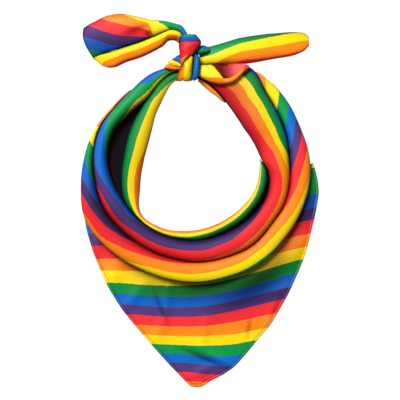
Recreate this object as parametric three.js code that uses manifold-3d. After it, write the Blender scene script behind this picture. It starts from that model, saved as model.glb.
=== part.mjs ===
import * as THREE from 'three';
import Module from 'manifold-3d';
import { mergeVertices } from 'three/addons/utils/BufferGeometryUtils.js';

// A satin neckerchief, tied and laid flat, seen with its knot at +Y and its point at -Y.
// Millimetres, +Z up, lying on z = 0, centred on its own box in X and Y.
// Each fold is a hollow roll of cloth whose two edges turn in underneath, with a slit left between them.

// Cloth
const clothWall = 1.2;
const bibWall = 1.4;
const pieceGap = 0.35;

// The folded band round the neck opening
const openingRadius = 68;
const innerFoldWidth = 21;
const valleyWidth = 17;
const middleFoldWidth = 26;
const outerFoldWidth = 21;
const foldHeight = 18;
const valleyFloor = 1.5;
const narrowestFold = 5;

// The bib below the band
const bibDrop = 243;
const bibTuck = 9;
const bibRelief = 4.5;
const hemWidth = 3.2;
const hemThickness = 2.4;

// The knot at the top of the band
const knotRise = 106;
const knotOffset = 10.5;
const knotLength = 47;
const knotWidth = 21;
const coreHeight = 12;
const wrapHeight = 14;
const loopHeight = 7;

// The two tails and the lip that opens under the right one
const leftTailLength = 109;
const leftTailWidth = 35;
const leftTailHeight = 12;
const flapWidth = 17;
const flapHeight = 11;
const rightTailLength = 116;
const rightTailWidth = 27;
const rightTailHeight = 13;
const lipLength = 53;
const lipWidth = 20;
const lipHeight = 7;

// Under a roll its two edges turn in until this slit is left between them
const soleSlit = 3;
const widestSlitShare = 0.6;
const crownPoints = 9;
const crownTurn = 25;
const bibRings = 8;
const bibStep = 4.6;
const rowSteps = 2;
const corePoints = 9;
const coreFlatness = 0.6;

// The band by direction: `at` is in degrees round the opening, anticlockwise from the knot's side.
// edge: opening's edge, in openingRadius. inner, valley, middle, outer: in the widths of those names.
const BAND = [
  { at: 8, edge: 1.21, inner: 0.34, valley: 0.06, middle: 0.24, outer: 0.10 },
  { at: 20, edge: 1.19, inner: 0.40, valley: 0.10, middle: 0.24, outer: 0.10 },
  { at: 30, edge: 1.07, inner: 0.62, valley: 0.03, middle: 0.45, outer: 0.10 },
  { at: 45, edge: 0.94, inner: 0.73, valley: 0.09, middle: 0.68, outer: 0.20 },
  { at: 60, edge: 0.85, inner: 0.93, valley: 0.37, middle: 0.69, outer: 0.22 },
  { at: 75, edge: 0.81, inner: 1.06, valley: 0.83, middle: 0.57, outer: 0.25 },
  { at: 90, edge: 0.84, inner: 1.03, valley: 1.02, middle: 0.57, outer: 0.41 },
  { at: 105, edge: 0.92, inner: 1.03, valley: 0.68, middle: 0.67, outer: 0.73 },
  { at: 120, edge: 1.06, inner: 0.92, valley: 0.14, middle: 0.78, outer: 1.14 },
  { at: 135, edge: 1.27, inner: 0.32, valley: 0.02, middle: 0.77, outer: 1.07 },
  { at: 150, edge: 1.28, inner: 0.28, valley: 0.02, middle: 0.78, outer: 1.05 },
  { at: 165, edge: 1.21, inner: 0.37, valley: 0.02, middle: 0.86, outer: 1.02 },
  { at: 180, edge: 1.15, inner: 0.37, valley: 0.04, middle: 1.00, outer: 0.98 },
  { at: 210, edge: 1.05, inner: 0.55, valley: 0.12, middle: 1.00, outer: 0.92 },
  { at: 225, edge: 1.02, inner: 0.54, valley: 0.20, middle: 0.88, outer: 0.87 },
  { at: 240, edge: 0.99, inner: 0.55, valley: 0.20, middle: 0.80, outer: 0.85 },
  { at: 255, edge: 0.94, inner: 0.40, valley: 0.04, middle: 0.98, outer: 0.96 },
  { at: 266, edge: 0.92, inner: 0.05, valley: 0.00, middle: 1.15, outer: 1.10 },
  { at: 285, edge: 0.84, inner: 0.00, valley: 0.00, middle: 1.33, outer: 0.87 },
  { at: 300, edge: 0.79, inner: 0.00, valley: 0.00, middle: 1.52, outer: 0.66 },
  { at: 315, edge: 0.80, inner: 0.00, valley: 0.00, middle: 1.68, outer: 0.37 },
  { at: 330, edge: 0.87, inner: 0.00, valley: 0.00, middle: 1.72, outer: 0.24 },
  { at: 345, edge: 1.01, inner: 0.00, valley: 0.00, middle: 0.95, outer: 0.10 },
  { at: 360, edge: 1.18, inner: 0.00, valley: 0.00, middle: 0.55, outer: 0.10 },
];

// Crown heights of the band's folds by the same directions, in foldHeight.
const CROWNS = [
  { at: 8, inner: 0.45, middle: 0.45, outer: 0.40 },
  { at: 20, inner: 0.50, middle: 0.46, outer: 0.40 },
  { at: 30, inner: 0.60, middle: 0.58, outer: 0.40 },
  { at: 45, inner: 0.75, middle: 0.85, outer: 0.45 },
  { at: 60, inner: 0.85, middle: 0.97, outer: 0.52 },
  { at: 75, inner: 0.90, middle: 1.00, outer: 0.60 },
  { at: 90, inner: 0.88, middle: 1.00, outer: 0.65 },
  { at: 105, inner: 0.83, middle: 1.00, outer: 0.70 },
  { at: 120, inner: 0.78, middle: 1.00, outer: 0.74 },
  { at: 135, inner: 0.72, middle: 1.00, outer: 0.76 },
  { at: 150, inner: 0.72, middle: 1.00, outer: 0.76 },
  { at: 165, inner: 0.74, middle: 1.00, outer: 0.76 },
  { at: 180, inner: 0.76, middle: 1.00, outer: 0.76 },
  { at: 210, inner: 0.78, middle: 1.00, outer: 0.76 },
  { at: 225, inner: 0.76, middle: 1.00, outer: 0.76 },
  { at: 240, inner: 0.72, middle: 1.00, outer: 0.76 },
  { at: 255, inner: 0.62, middle: 1.02, outer: 0.74 },
  { at: 266, inner: 0.40, middle: 1.05, outer: 0.72 },
  { at: 285, inner: 0.40, middle: 1.08, outer: 0.68 },
  { at: 300, inner: 0.40, middle: 1.05, outer: 0.60 },
  { at: 315, inner: 0.40, middle: 0.88, outer: 0.50 },
  { at: 330, inner: 0.40, middle: 0.60, outer: 0.45 },
  { at: 345, inner: 0.40, middle: 0.50, outer: 0.40 },
  { at: 360, inner: 0.40, middle: 0.45, outer: 0.40 },
];

// Where each fold of the band starts and ends, in degrees
const SPANS = {
  innerUpper: { from: 13, to: 45, step: 8 },
  inner: { from: 45.5, to: 263, step: 8 },
  innerRight: { from: 335, to: 358, step: 7 },
  valley: { from: 52, to: 126, step: 6 },
  middle: { from: 14, to: 359, step: 8 },
  outer: { from: 46, to: 328, step: 8 },
};

// The bib's hem by direction. reach: distance from the opening's centre, in bibDrop.
const HEM = [
  { at: 117, reach: 0.560 },
  { at: 121, reach: 0.577 },
  { at: 130, reach: 0.612 },
  { at: 139, reach: 0.656 },
  { at: 145, reach: 0.692 },
  { at: 151, reach: 0.731 },
  { at: 157, reach: 0.772 },
  { at: 162, reach: 0.811 },
  { at: 167, reach: 0.859 },
  { at: 171, reach: 0.906 },
  { at: 174, reach: 0.945 },
  { at: 176.4, reach: 0.980 },
  { at: 177.6, reach: 0.998 },
  { at: 179, reach: 1.003 },
  { at: 180.5, reach: 1.000 },
  { at: 182.5, reach: 0.979 },
  { at: 186, reach: 0.953 },
  { at: 189.4, reach: 0.923 },
  { at: 193, reach: 0.882 },
  { at: 197.5, reach: 0.834 },
  { at: 202, reach: 0.797 },
  { at: 206.4, reach: 0.757 },
  { at: 211, reach: 0.721 },
  { at: 215.5, reach: 0.688 },
  { at: 220.3, reach: 0.658 },
  { at: 225, reach: 0.632 },
  { at: 235, reach: 0.583 },
  { at: 246, reach: 0.551 },
  { at: 253, reach: 0.536 },
  { at: 266, reach: 0.489 },
];

// Soft dents and waves of the bib. at, spread: degrees. out, depth: place and size of the wave from
// the band (0) to the hem (1). rise: height, in bibRelief.
const WAVES = [
  { at: 128, spread: 9, out: 0.9, depth: 0.5, rise: 0.9 },
  { at: 146, spread: 7, out: 0.7, depth: 0.4, rise: 0.6 },
  { at: 163, spread: 5, out: 1.0, depth: 0.3, rise: 0.7 },
  { at: 187, spread: 4, out: 0.85, depth: 0.2, rise: 1.0 },
  { at: 205, spread: 8, out: 0.55, depth: 0.3, rise: 0.8 },
  { at: 222, spread: 7, out: 0.95, depth: 0.4, rise: 0.9 },
  { at: 243, spread: 9, out: 0.8, depth: 0.5, rise: 1.0 },
];

// Left tail, from the knot outwards. topX, creaseX, lowX: along the tail, in leftTailLength.
// topY, creaseY: above the tail's root, in leftTailWidth. lowY: below the crease, in flapWidth.
// rise: height, in leftTailHeight for the tail and flapHeight for its flap.
const LEFT_TAIL = [
  { topX: 0.02, topY: 0.08, creaseX: 0.03, creaseY: -0.02, lowX: 0.09, lowY: 0.45, rise: 0.62 },
  { topX: 0.11, topY: 0.27, creaseX: 0.13, creaseY: 0.06, lowX: 0.19, lowY: 0.58, rise: 0.78 },
  { topX: 0.21, topY: 0.34, creaseX: 0.21, creaseY: 0.11, lowX: 0.25, lowY: 0.95, rise: 0.90 },
  { topX: 0.32, topY: 0.37, creaseX: 0.32, creaseY: -0.02, lowX: 0.34, lowY: 1.05, rise: 0.95 },
  { topX: 0.46, topY: 0.50, creaseX: 0.46, creaseY: -0.19, lowX: 0.45, lowY: 1.02, rise: 1.00 },
  { topX: 0.61, topY: 0.61, creaseX: 0.60, creaseY: -0.38, lowX: 0.58, lowY: 0.82, rise: 1.00 },
  { topX: 0.76, topY: 0.56, creaseX: 0.74, creaseY: -0.47, lowX: 0.72, lowY: 0.93, rise: 0.85 },
  { topX: 0.90, topY: 0.37, creaseX: 0.84, creaseY: -0.58, lowX: 0.82, lowY: 0.57, rise: 0.58 },
  { topX: 1.00, topY: 0.18, creaseX: 0.90, creaseY: -0.66, lowX: 0.88, lowY: 0.28, rise: 0.26 },
];

// Right tail, from the knot outwards. along: in rightTailLength. top, low: its edges above the knot's
// middle, in rightTailWidth. rise: height, in rightTailHeight.
const RIGHT_TAIL = [
  { along: 0.00, top: 0.26, low: -0.36, rise: 0.72 },
  { along: 0.12, top: 0.37, low: -0.36, rise: 0.95 },
  { along: 0.24, top: 0.52, low: -0.34, rise: 1.00 },
  { along: 0.37, top: 0.68, low: -0.31, rise: 0.96 },
  { along: 0.52, top: 0.78, low: -0.23, rise: 0.85 },
  { along: 0.68, top: 0.86, low: -0.11, rise: 0.70 },
  { along: 0.83, top: 0.89, low: 0.02, rise: 0.56 },
  { along: 0.94, top: 0.81, low: 0.25, rise: 0.40 },
  { along: 0.99, top: 0.66, low: 0.46, rise: 0.28 },
];

// Lip under the right tail. topX, lowX: from the knot, in lipLength. topY, lowY: below the tail's
// lower edge, in lipWidth. rise: height, in lipHeight.
const LIP = [
  { topX: 0.00, topY: 0.00, lowX: 0.00, lowY: 0.62, rise: 0.70 },
  { topX: 0.15, topY: 0.00, lowX: 0.20, lowY: 0.86, rise: 0.90 },
  { topX: 0.31, topY: 0.00, lowX: 0.43, lowY: 0.98, rise: 1.00 },
  { topX: 0.46, topY: 0.00, lowX: 0.60, lowY: 0.92, rise: 1.00 },
  { topX: 0.62, topY: 0.00, lowX: 0.73, lowY: 0.72, rise: 0.90 },
  { topX: 0.80, topY: 0.00, lowX: 0.90, lowY: 0.36, rise: 0.75 },
  { topX: 0.93, topY: 0.00, lowX: 0.99, lowY: 0.24, rise: 0.60 },
];

// Knot's wraps and loop. leftX, rightX: edges from the knot's middle, in knotWidth. leftY, rightY:
// in knotLength. rise: height, in wrapHeight or loopHeight.
const UPPER_WRAP = [
  { leftX: -0.14, leftY: 0.46, rightX: 0.20, rightY: 0.48, rise: 0.42 },
  { leftX: -0.40, leftY: 0.33, rightX: 0.44, rightY: 0.35, rise: 0.82 },
  { leftX: -0.52, leftY: 0.19, rightX: 0.52, rightY: 0.24, rise: 1.00 },
  { leftX: -0.54, leftY: 0.05, rightX: 0.30, rightY: 0.12, rise: 1.00 },
  { leftX: -0.52, leftY: -0.08, rightX: -0.06, rightY: -0.04, rise: 0.82 },
  { leftX: -0.48, leftY: -0.18, rightX: -0.22, rightY: -0.13, rise: 0.55 },
];
const LOWER_WRAP = [
  { leftX: 0.55, leftY: 0.12, rightX: 0.65, rightY: 0.05, rise: 0.45 },
  { leftX: 0.33, leftY: 0.02, rightX: 0.55, rightY: -0.13, rise: 0.80 },
  { leftX: 0.04, leftY: -0.13, rightX: 0.49, rightY: -0.29, rise: 0.90 },
  { leftX: -0.26, leftY: -0.26, rightX: 0.37, rightY: -0.46, rise: 0.80 },
  { leftX: -0.55, leftY: -0.36, rightX: 0.03, rightY: -0.57, rise: 0.62 },
  { leftX: -0.73, leftY: -0.53, rightX: -0.50, rightY: -0.61, rise: 0.42 },
];
const LEFT_LOOP = [
  { leftX: -0.59, leftY: -0.13, rightX: -0.69, rightY: -0.34, rise: 1.00 },
  { leftX: -0.85, leftY: -0.12, rightX: -0.95, rightY: -0.40, rise: 0.95 },
  { leftX: -1.12, leftY: -0.18, rightX: -1.17, rightY: -0.37, rise: 0.60 },
];
// Core of the knot. y: from its middle, in knotLength. halfWidth: in knotWidth. rise: in coreHeight.
const CORE = [
  { y: -0.44, halfWidth: 0.26, rise: 0.60 },
  { y: -0.30, halfWidth: 0.40, rise: 0.90 },
  { y: -0.10, halfWidth: 0.42, rise: 1.00 },
  { y: 0.15, halfWidth: 0.42, rise: 1.00 },
  { y: 0.33, halfWidth: 0.36, rise: 0.85 },
  { y: 0.43, halfWidth: 0.20, rise: 0.55 },
];

// The hem meets at the point in this direction. Its section: shares of hemWidth across and of hemThickness up.
const HEM_POINT = 179;
const WAVE_FOOT = 0.35;
const HEM_SECTION = [
  { across: 0.00, up: 0.50 },
  { across: 0.20, up: 0.92 },
  { across: 0.55, up: 1.00 },
  { across: 1.00, up: 0.72 },
  { across: 1.00, up: 0.00 },
  { across: 0.12, up: 0.00 },
];

// Where the left tail leaves the knot, and where the lip rests on the band
const TAIL_ROOT = { leftX: -0.18, leftY: 0.46 };
const LIP_REST = { from: 326, to: 352, step: 4 };

const COLOURS = {
  red: 0xe2343c,
  orange: 0xf3913a,
  yellow: 0xfadb2f,
  green: 0x14964f,
  blue: 0x1f63c4,
  purple: 0x55407f,
};

const wasm = await Module();
wasm.setup();

/** Smooth value of one column at a place along a table's sorted first column. */
function readColumn(rows, sortedBy, name, place) {
  const last = rows.length - 1;
  const at = THREE.MathUtils.clamp(place, rows[0][sortedBy], rows[last][sortedBy]);
  let index = 0;
  while (index < last - 1 && rows[index + 1][sortedBy] < at) index += 1;
  const before = rows[Math.max(index - 1, 0)];
  const from = rows[index];
  const to = rows[index + 1];
  const after = rows[Math.min(index + 2, last)];
  const span = to[sortedBy] - from[sortedBy];
  const share = (at - from[sortedBy]) / span;
  const slopeFrom = ((to[name] - before[name]) / (to[sortedBy] - before[sortedBy])) * span;
  const slopeTo = ((after[name] - from[name]) / (after[sortedBy] - from[sortedBy])) * span;
  const square = share * share;
  const cube = square * share;
  return (2 * cube - 3 * square + 1) * from[name] + (cube - 2 * square + share) * slopeFrom
    + (3 * square - 2 * cube) * to[name] + (cube - square) * slopeTo;
}

/** The rows of a table with smooth rows added between them. */
function smoothRows(rows) {
  const numbered = rows.map((row, index) => ({ ...row, index }));
  const names = Object.keys(rows[0]);
  return places(0, rows.length - 1, 1 / rowSteps).map((place) => Object.fromEntries(
    names.map((name) => [name, readColumn(numbered, 'index', name, place)]),
  ));
}

/** Plan point at a direction and distance from the opening's centre. */
function polar(at, radius) {
  const angle = THREE.MathUtils.degToRad(at);
  return new THREE.Vector2(-radius * Math.sin(angle), radius * Math.cos(angle));
}

/** Evenly spaced places from one end of a span to the other. */
function places(from, to, step) {
  const count = Math.max(2, Math.round((to - from) / step));
  return Array.from({ length: count + 1 }, (_, index) => from + ((to - from) * index) / count);
}

/** Edges and crown heights of the band's folds in one direction. */
function bandAt(at) {
  const read = (name) => readColumn(BAND, 'at', name, at);
  const crown = (name) => foldHeight * readColumn(CROWNS, 'at', name, at);
  const innerEdge = openingRadius * read('edge');
  const innerLimit = innerEdge + innerFoldWidth * Math.max(read('inner'), 0);
  const middleEdge = innerLimit + valleyWidth * Math.max(read('valley'), 0);
  const middleLimit = middleEdge + middleFoldWidth * read('middle');
  const outerLimit = middleLimit + outerFoldWidth * Math.max(read('outer'), 0);
  return {
    innerEdge,
    innerLimit,
    middleEdge,
    middleLimit,
    outerLimit,
    innerHeight: crown('inner'),
    middleHeight: crown('middle'),
    outerHeight: crown('outer'),
  };
}

/** One section of a roll: near and far edges in plan, base level and height. */
function station(near, far, base, height) {
  return { near, far, base, height };
}

/** Section of a roll: an ellipse of cloth, open below at the slit where its two edges turn in. */
function rollSection({ near, far, base, height }, wall) {
  const middle = near.clone().add(far).multiplyScalar(0.5);
  const across = far.clone().sub(near).normalize();
  const halfWidth = near.distanceTo(far) / 2;
  const turn = Math.acos(Math.min(soleSlit / 2 / halfWidth, widestSlitShare));
  const halfHeight = height / (1 + Math.sin(turn));
  const centreUp = base + height - halfHeight;
  const low = THREE.MathUtils.degToRad(crownTurn);
  const crown = Array.from({ length: crownPoints }, (_, index) => (
    -low + ((Math.PI + 2 * low) * index) / (crownPoints - 1)
  ));
  const angles = [-turn, ...crown, Math.PI + turn];
  const line = (inset) => angles.map((angle) => {
    const out = -(halfWidth - inset) * Math.cos(angle);
    const up = (halfHeight - inset) * Math.sin(angle);
    return new THREE.Vector3(middle.x + across.x * out, middle.y + across.y * out, centreUp + up);
  });
  return [...line(0), ...line(wall).reverse()];
}

/** Closed geometry through equal rings of points, with a strip of quads across each end. */
function loft(rings) {
  const size = rings[0].length;
  const points = rings.flat();
  const faces = [];
  const quad = (a, b, c, d) => faces.push(a, b, c, a, c, d);
  for (let ring = 0; ring < rings.length - 1; ring += 1) {
    for (let index = 0; index < size; index += 1) {
      const next = (index + 1) % size;
      quad(ring * size + index, ring * size + next, (ring + 1) * size + next, (ring + 1) * size + index);
    }
  }
  const end = (rings.length - 1) * size;
  for (let index = 0; index < size / 2 - 1; index += 1) {
    const mirror = size - 1 - index;
    quad(index, mirror, mirror - 1, index + 1);
    quad(end + index, end + index + 1, end + mirror - 1, end + mirror);
  }
  const geometry = new THREE.BufferGeometry();
  geometry.setAttribute('position', new THREE.Float32BufferAttribute(points.flatMap((p) => p.toArray()), 3));
  geometry.setIndex(faces);
  return outward(geometry);
}

/** Turns a closed geometry's faces round where they point inwards. */
function outward(geometry) {
  const index = geometry.getIndex().array;
  const position = geometry.getAttribute('position');
  const corner = (place) => new THREE.Vector3().fromBufferAttribute(position, index[place]);
  let volume = 0;
  for (let face = 0; face < index.length; face += 3) {
    volume += corner(face).dot(corner(face + 1).cross(corner(face + 2)));
  }
  if (volume < 0) {
    const turned = Array.from(index);
    for (let face = 0; face < turned.length; face += 3) {
      [turned[face + 1], turned[face + 2]] = [turned[face + 2], turned[face + 1]];
    }
    geometry.setIndex(turned);
  }
  return geometry;
}

/** Manifold solid of a closed geometry. */
function toSolid(geometry) {
  const bare = new THREE.BufferGeometry();
  bare.setAttribute('position', geometry.getAttribute('position').clone());
  bare.setIndex(geometry.getIndex());
  const merged = mergeVertices(bare, 1e-4);
  return new wasm.Manifold(new wasm.Mesh({
    numProp: 3,
    vertProperties: new Float32Array(merged.getAttribute('position').array),
    triVerts: new Uint32Array(merged.getIndex().array),
  }));
}

/** Geometry of a manifold solid. */
function fromSolid(solid) {
  const mesh = solid.getMesh();
  const geometry = new THREE.BufferGeometry();
  geometry.setAttribute('position', new THREE.Float32BufferAttribute(mesh.vertProperties, 3));
  geometry.setIndex(Array.from(mesh.triVerts));
  return geometry;
}

/** The geometry without what lies inside the given closed geometries. */
function cutBy(geometry, cutters) {
  const solid = cutters.reduce((left, cutter) => left.subtract(toSolid(cutter)), toSolid(geometry));
  const bodies = solid.decompose().sort((one, other) => other.volume() - one.volume());
  return fromSolid(bodies[0]);
}

/** A hollow roll through stations. */
function roll(stations, wall = clothWall) {
  return loft(stations.map((section) => rollSection(section, wall)));
}

/** Adds a named, coloured mesh to the group. */
function addPiece(group, name, geometry, colour) {
  geometry.computeVertexNormals();
  const material = new THREE.MeshStandardMaterial({ color: colour, roughness: 0.42, metalness: 0 });
  const mesh = new THREE.Mesh(geometry, material);
  mesh.name = name;
  group.add(mesh);
}


/** Stations of one fold of the band, kept to a least width. */
function foldStations(span, edges) {
  return places(span.from, span.to, span.step).map((at) => {
    const { from, to, base, height } = edges(bandAt(at));
    const spare = Math.max(narrowestFold - (to - from), 0) / 2;
    return station(polar(at, from - spare), polar(at, to + spare), base, height);
  });
}

/** The folds round the neck opening. */
function addBand(group, core) {
  const inner = (band) => ({ from: band.innerEdge, to: band.innerLimit, base: 0, height: band.innerHeight });
  const innerRight = (band) => {
    const to = band.middleEdge;
    return { from: to - narrowestFold, to, base: 0, height: band.innerHeight };
  };
  const middle = (band) => ({
    from: band.middleEdge + pieceGap, to: band.middleLimit, base: 0, height: band.middleHeight,
  });
  const outer = (band) => ({
    from: band.middleLimit + pieceGap, to: band.outerLimit, base: bibWall + pieceGap, height: band.outerHeight,
  });
  addPiece(group, 'inner_fold_upper', roll(foldStations(SPANS.innerUpper, inner)), COLOURS.yellow);
  addPiece(group, 'inner_fold', roll(foldStations(SPANS.inner, inner)), COLOURS.yellow);
  addPiece(group, 'inner_fold_right', roll(foldStations(SPANS.innerRight, innerRight)), COLOURS.orange);
  const middleRoll = roll(foldStations(SPANS.middle, middle));
  addPiece(group, 'middle_fold', cutBy(middleRoll, [core]), COLOURS.red);
  addPiece(group, 'outer_fold', roll(foldStations(SPANS.outer, outer)), COLOURS.blue);
}

/** The cloth seen down in the open valley between the inner and the middle fold. */
function addValley(group) {
  const { from, to, step } = SPANS.valley;
  const rings = places(from, to, step).map((at) => {
    const band = bandAt(at);
    const foot = narrowestFold / 2;
    const start = band.innerLimit + pieceGap;
    const end = Math.max(band.middleEdge, start + foot);
    const low = [start, (start + end) / 2, end].map((radius) => polar(at, radius));
    const level = (point, up) => new THREE.Vector3(point.x, point.y, up);
    const top = low.map((point) => level(point, valleyFloor + clothWall));
    const bottom = low.map((point) => level(point, valleyFloor)).reverse();
    return [...top, ...bottom];
  });
  addPiece(group, 'valley_fold', loft(rings), COLOURS.purple);
}

/** Distance from the opening's centre to the hem's outer edge. */
function hemReach(at) {
  return bibDrop * readColumn(HEM, 'at', 'reach', at);
}

/** Height of the bib's underside: flat on the table but for its soft waves. */
function bibLift(at, out) {
  const waves = WAVES.reduce((sum, wave) => {
    const side = (at - wave.at) / wave.spread;
    const along = (out - wave.out) / wave.depth;
    return sum + wave.rise * Math.exp(-side * side - along * along);
  }, 0);
  const settled = Math.max(waves - WAVE_FOOT, 0);
  return bibRelief * settled;
}

/** Directions of the bib's sections: the hem's rows, with one more between rows that lie far apart. */
function bibDirections() {
  return HEM.flatMap(({ at }, index) => {
    const next = HEM[index + 1];
    if (!next || next.at - at <= bibStep) return [at];
    return [at, (at + next.at) / 2];
  });
}

/** Outline points of the bib, a distance in from the hem's outer edge. */
function hemLine(directions, inset) {
  const outline = directions.map((at) => polar(at, hemReach(at)));
  return outline.map((point, index) => {
    const ahead = outline[Math.min(index + 1, outline.length - 1)];
    const behind = outline[Math.max(index - 1, 0)];
    const along = ahead.clone().sub(behind).normalize();
    const inward = new THREE.Vector2(along.y, -along.x);
    return point.clone().addScaledVector(inward, inset * (inward.dot(point) > 0 ? -1 : 1));
  });
}

/** The bib: a wall from under the outer fold down to the hem, with its waves. */
function addBib(group) {
  const directions = bibDirections();
  const edge = hemLine(directions, hemWidth + pieceGap);
  const shares = Array.from({ length: bibRings + 1 }, (_, ring) => ring / bibRings);
  const rings = directions.map((at, index) => {
    const start = polar(at, bandAt(at).outerLimit - bibTuck);
    const lay = (share, up) => {
      const point = start.clone().lerp(edge[index], share);
      return new THREE.Vector3(point.x, point.y, bibLift(at, share) + up);
    };
    const top = shares.map((share) => lay(share, bibWall));
    const bottom = shares.map((share) => lay(share, 0)).reverse();
    return [...top, ...bottom];
  });
  addPiece(group, 'bib', loft(rings), COLOURS.green);
}

/** Both hems: the turned edges of the bib, from the band to the point. */
function addHems(group) {
  const directions = bibDirections();
  const outer = hemLine(directions, 0);
  const inner = hemLine(directions, hemWidth);
  const rings = directions.map((at, index) => HEM_SECTION.map(({ across, up }) => {
    const point = outer[index].clone().lerp(inner[index], across);
    return new THREE.Vector3(point.x, point.y, bibLift(at, 1) + hemThickness * up);
  }));
  const point = HEM.indexOf(HEM.find(({ at }) => at >= HEM_POINT));
  const tip = directions.indexOf(HEM[point].at);
  const left = rings.slice(0, tip + 1);
  const right = rings.slice(tip);
  const step = outer[tip + 1].clone().sub(outer[tip]).normalize().multiplyScalar(pieceGap);
  right[0] = right[0].map((corner) => new THREE.Vector3(corner.x + step.x, corner.y + step.y, corner.z));
  addPiece(group, 'hem_left', loft(left), COLOURS.orange);
  addPiece(group, 'hem_right', loft(right), COLOURS.orange);
}

/** Left tail: the main cloth and the flap that folds over its lower side. */
function addLeftTail(group) {
  const rootX = -knotOffset + knotWidth * TAIL_ROOT.leftX;
  const rootY = knotRise + knotLength * TAIL_ROOT.leftY;
  const at = (x, y) => new THREE.Vector2(rootX - leftTailLength * x, rootY + leftTailWidth * y);
  const rows = smoothRows(LEFT_TAIL);
  const main = rows.map((row) => {
    const crease = at(row.creaseX, row.creaseY);
    return station(at(row.topX, row.topY), crease, 0, leftTailHeight * row.rise);
  });
  const flap = rows.map((row, index) => {
    const crease = main[index].far;
    const low = new THREE.Vector2(rootX - leftTailLength * row.lowX, crease.y - flapWidth * row.lowY);
    const across = low.clone().sub(crease).normalize().multiplyScalar(pieceGap);
    return station(crease.clone().add(across), low, 0, flapHeight * row.rise);
  });
  addPiece(group, 'left_tail', roll(main), COLOURS.purple);
  addPiece(group, 'left_tail_flap', roll(flap), COLOURS.yellow);
}

/** Right tail, laid out from the knot to its point. */
function rightTailStations() {
  const rootX = -knotOffset + knotWidth / 2 + pieceGap * 2;
  return smoothRows(RIGHT_TAIL).map(({ along, top, low, rise }) => {
    const x = rootX + rightTailLength * along;
    const edge = (share) => new THREE.Vector2(x, knotRise + rightTailWidth * share);
    return station(edge(top), edge(low), 0, rightTailHeight * rise);
  });
}

/** Lip of cloth that opens under the right tail and lies over the band's right end. */
function lipStations() {
  const rootX = -knotOffset + knotWidth / 2 + pieceGap * 2;
  const topY = knotRise + rightTailWidth * RIGHT_TAIL[0].low - pieceGap;
  const below = places(LIP_REST.from, LIP_REST.to, LIP_REST.step).map((at) => bandAt(at).middleHeight);
  const carriedBy = Math.max(...below);
  return smoothRows(LIP).map((row) => {
    const top = new THREE.Vector2(rootX + lipLength * row.topX, topY - lipWidth * row.topY);
    const low = new THREE.Vector2(rootX + lipLength * row.lowX, topY - lipWidth * row.lowY);
    return station(top, low, carriedBy + pieceGap, lipHeight * row.rise);
  });
}

/** Point of the knot, from shares of its width and length. */
function knotPoint(x, y) {
  return new THREE.Vector2(-knotOffset + knotWidth * x, knotRise + knotLength * y);
}

/** Stations of one wrap or loop of the knot. */
function knotStations(rows, base, height) {
  return smoothRows(rows).map((row) => station(
    knotPoint(row.leftX, row.leftY), knotPoint(row.rightX, row.rightY), base, height * row.rise,
  ));
}

/** The wound cloth inside the knot: a rounded lump, grown all round by a clearance. */
function coreLump(clearance) {
  const rings = CORE.map(({ y, halfWidth, rise }, index) => {
    const end = index === 0 ? -clearance : clearance;
    const stretch = index === 0 || index === CORE.length - 1 ? end : 0;
    return Array.from({ length: corePoints }, (_, side) => {
      const angle = (Math.PI * side) / (corePoints - 1);
      const reach = knotWidth * halfWidth + clearance;
      const point = knotPoint(0, y);
      const up = (coreHeight * rise + clearance) * Math.sin(angle) ** coreFlatness;
      return new THREE.Vector3(point.x + reach * Math.cos(angle), point.y + stretch, up - clearance);
    });
  });
  return loft(rings);
}

/** The knot's pieces. */
function addKnot(group) {
  const top = coreHeight + pieceGap;
  addPiece(group, 'knot_core', coreLump(0), COLOURS.blue);
  addPiece(group, 'knot_upper_wrap', roll(knotStations(UPPER_WRAP, top, wrapHeight)), COLOURS.red);
  addPiece(group, 'knot_lower_wrap', roll(knotStations(LOWER_WRAP, top, wrapHeight)), COLOURS.orange);
  const carriedBy = Math.max(bandAt(SPANS.middle.from).middleHeight, bandAt(SPANS.innerUpper.from).innerHeight);
  const loop = roll(knotStations(LEFT_LOOP, carriedBy + pieceGap, loopHeight));
  addPiece(group, 'knot_left_loop', loop, COLOURS.yellow);
}

/** Moves the whole group so that it lies on z = 0, centred on its box. */
function centre(group) {
  group.updateMatrixWorld(true);
  const box = new THREE.Box3().setFromObject(group, true);
  const middle = box.getCenter(new THREE.Vector3());
  group.position.set(-middle.x, -middle.y, -box.min.z);
}

const neckerchief = new THREE.Group();
addBand(neckerchief, coreLump(pieceGap));
addValley(neckerchief);
addBib(neckerchief);
addHems(neckerchief);
addLeftTail(neckerchief);
addPiece(neckerchief, 'right_tail', roll(rightTailStations()), COLOURS.green);
addPiece(neckerchief, 'right_tail_lip', roll(lipStations()), COLOURS.orange);
addKnot(neckerchief);
centre(neckerchief);

export default neckerchief;
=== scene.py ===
"""A rainbow-striped satin neckerchief, tied and laid flat, seen from straight above.

The cloth is one printed square folded on its diagonal. Its stripes run along the fold, so every point
of the cloth has a stripe number, counted from the bib's point, and the print follows that number over
every fold. Lengths are in metres unless a name says otherwise.
"""

import logging
import math
from dataclasses import dataclass, field
from enum import Enum
from typing import NamedTuple, Sequence

import bmesh
import bpy
import numpy as np
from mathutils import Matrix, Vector, noise


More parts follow.
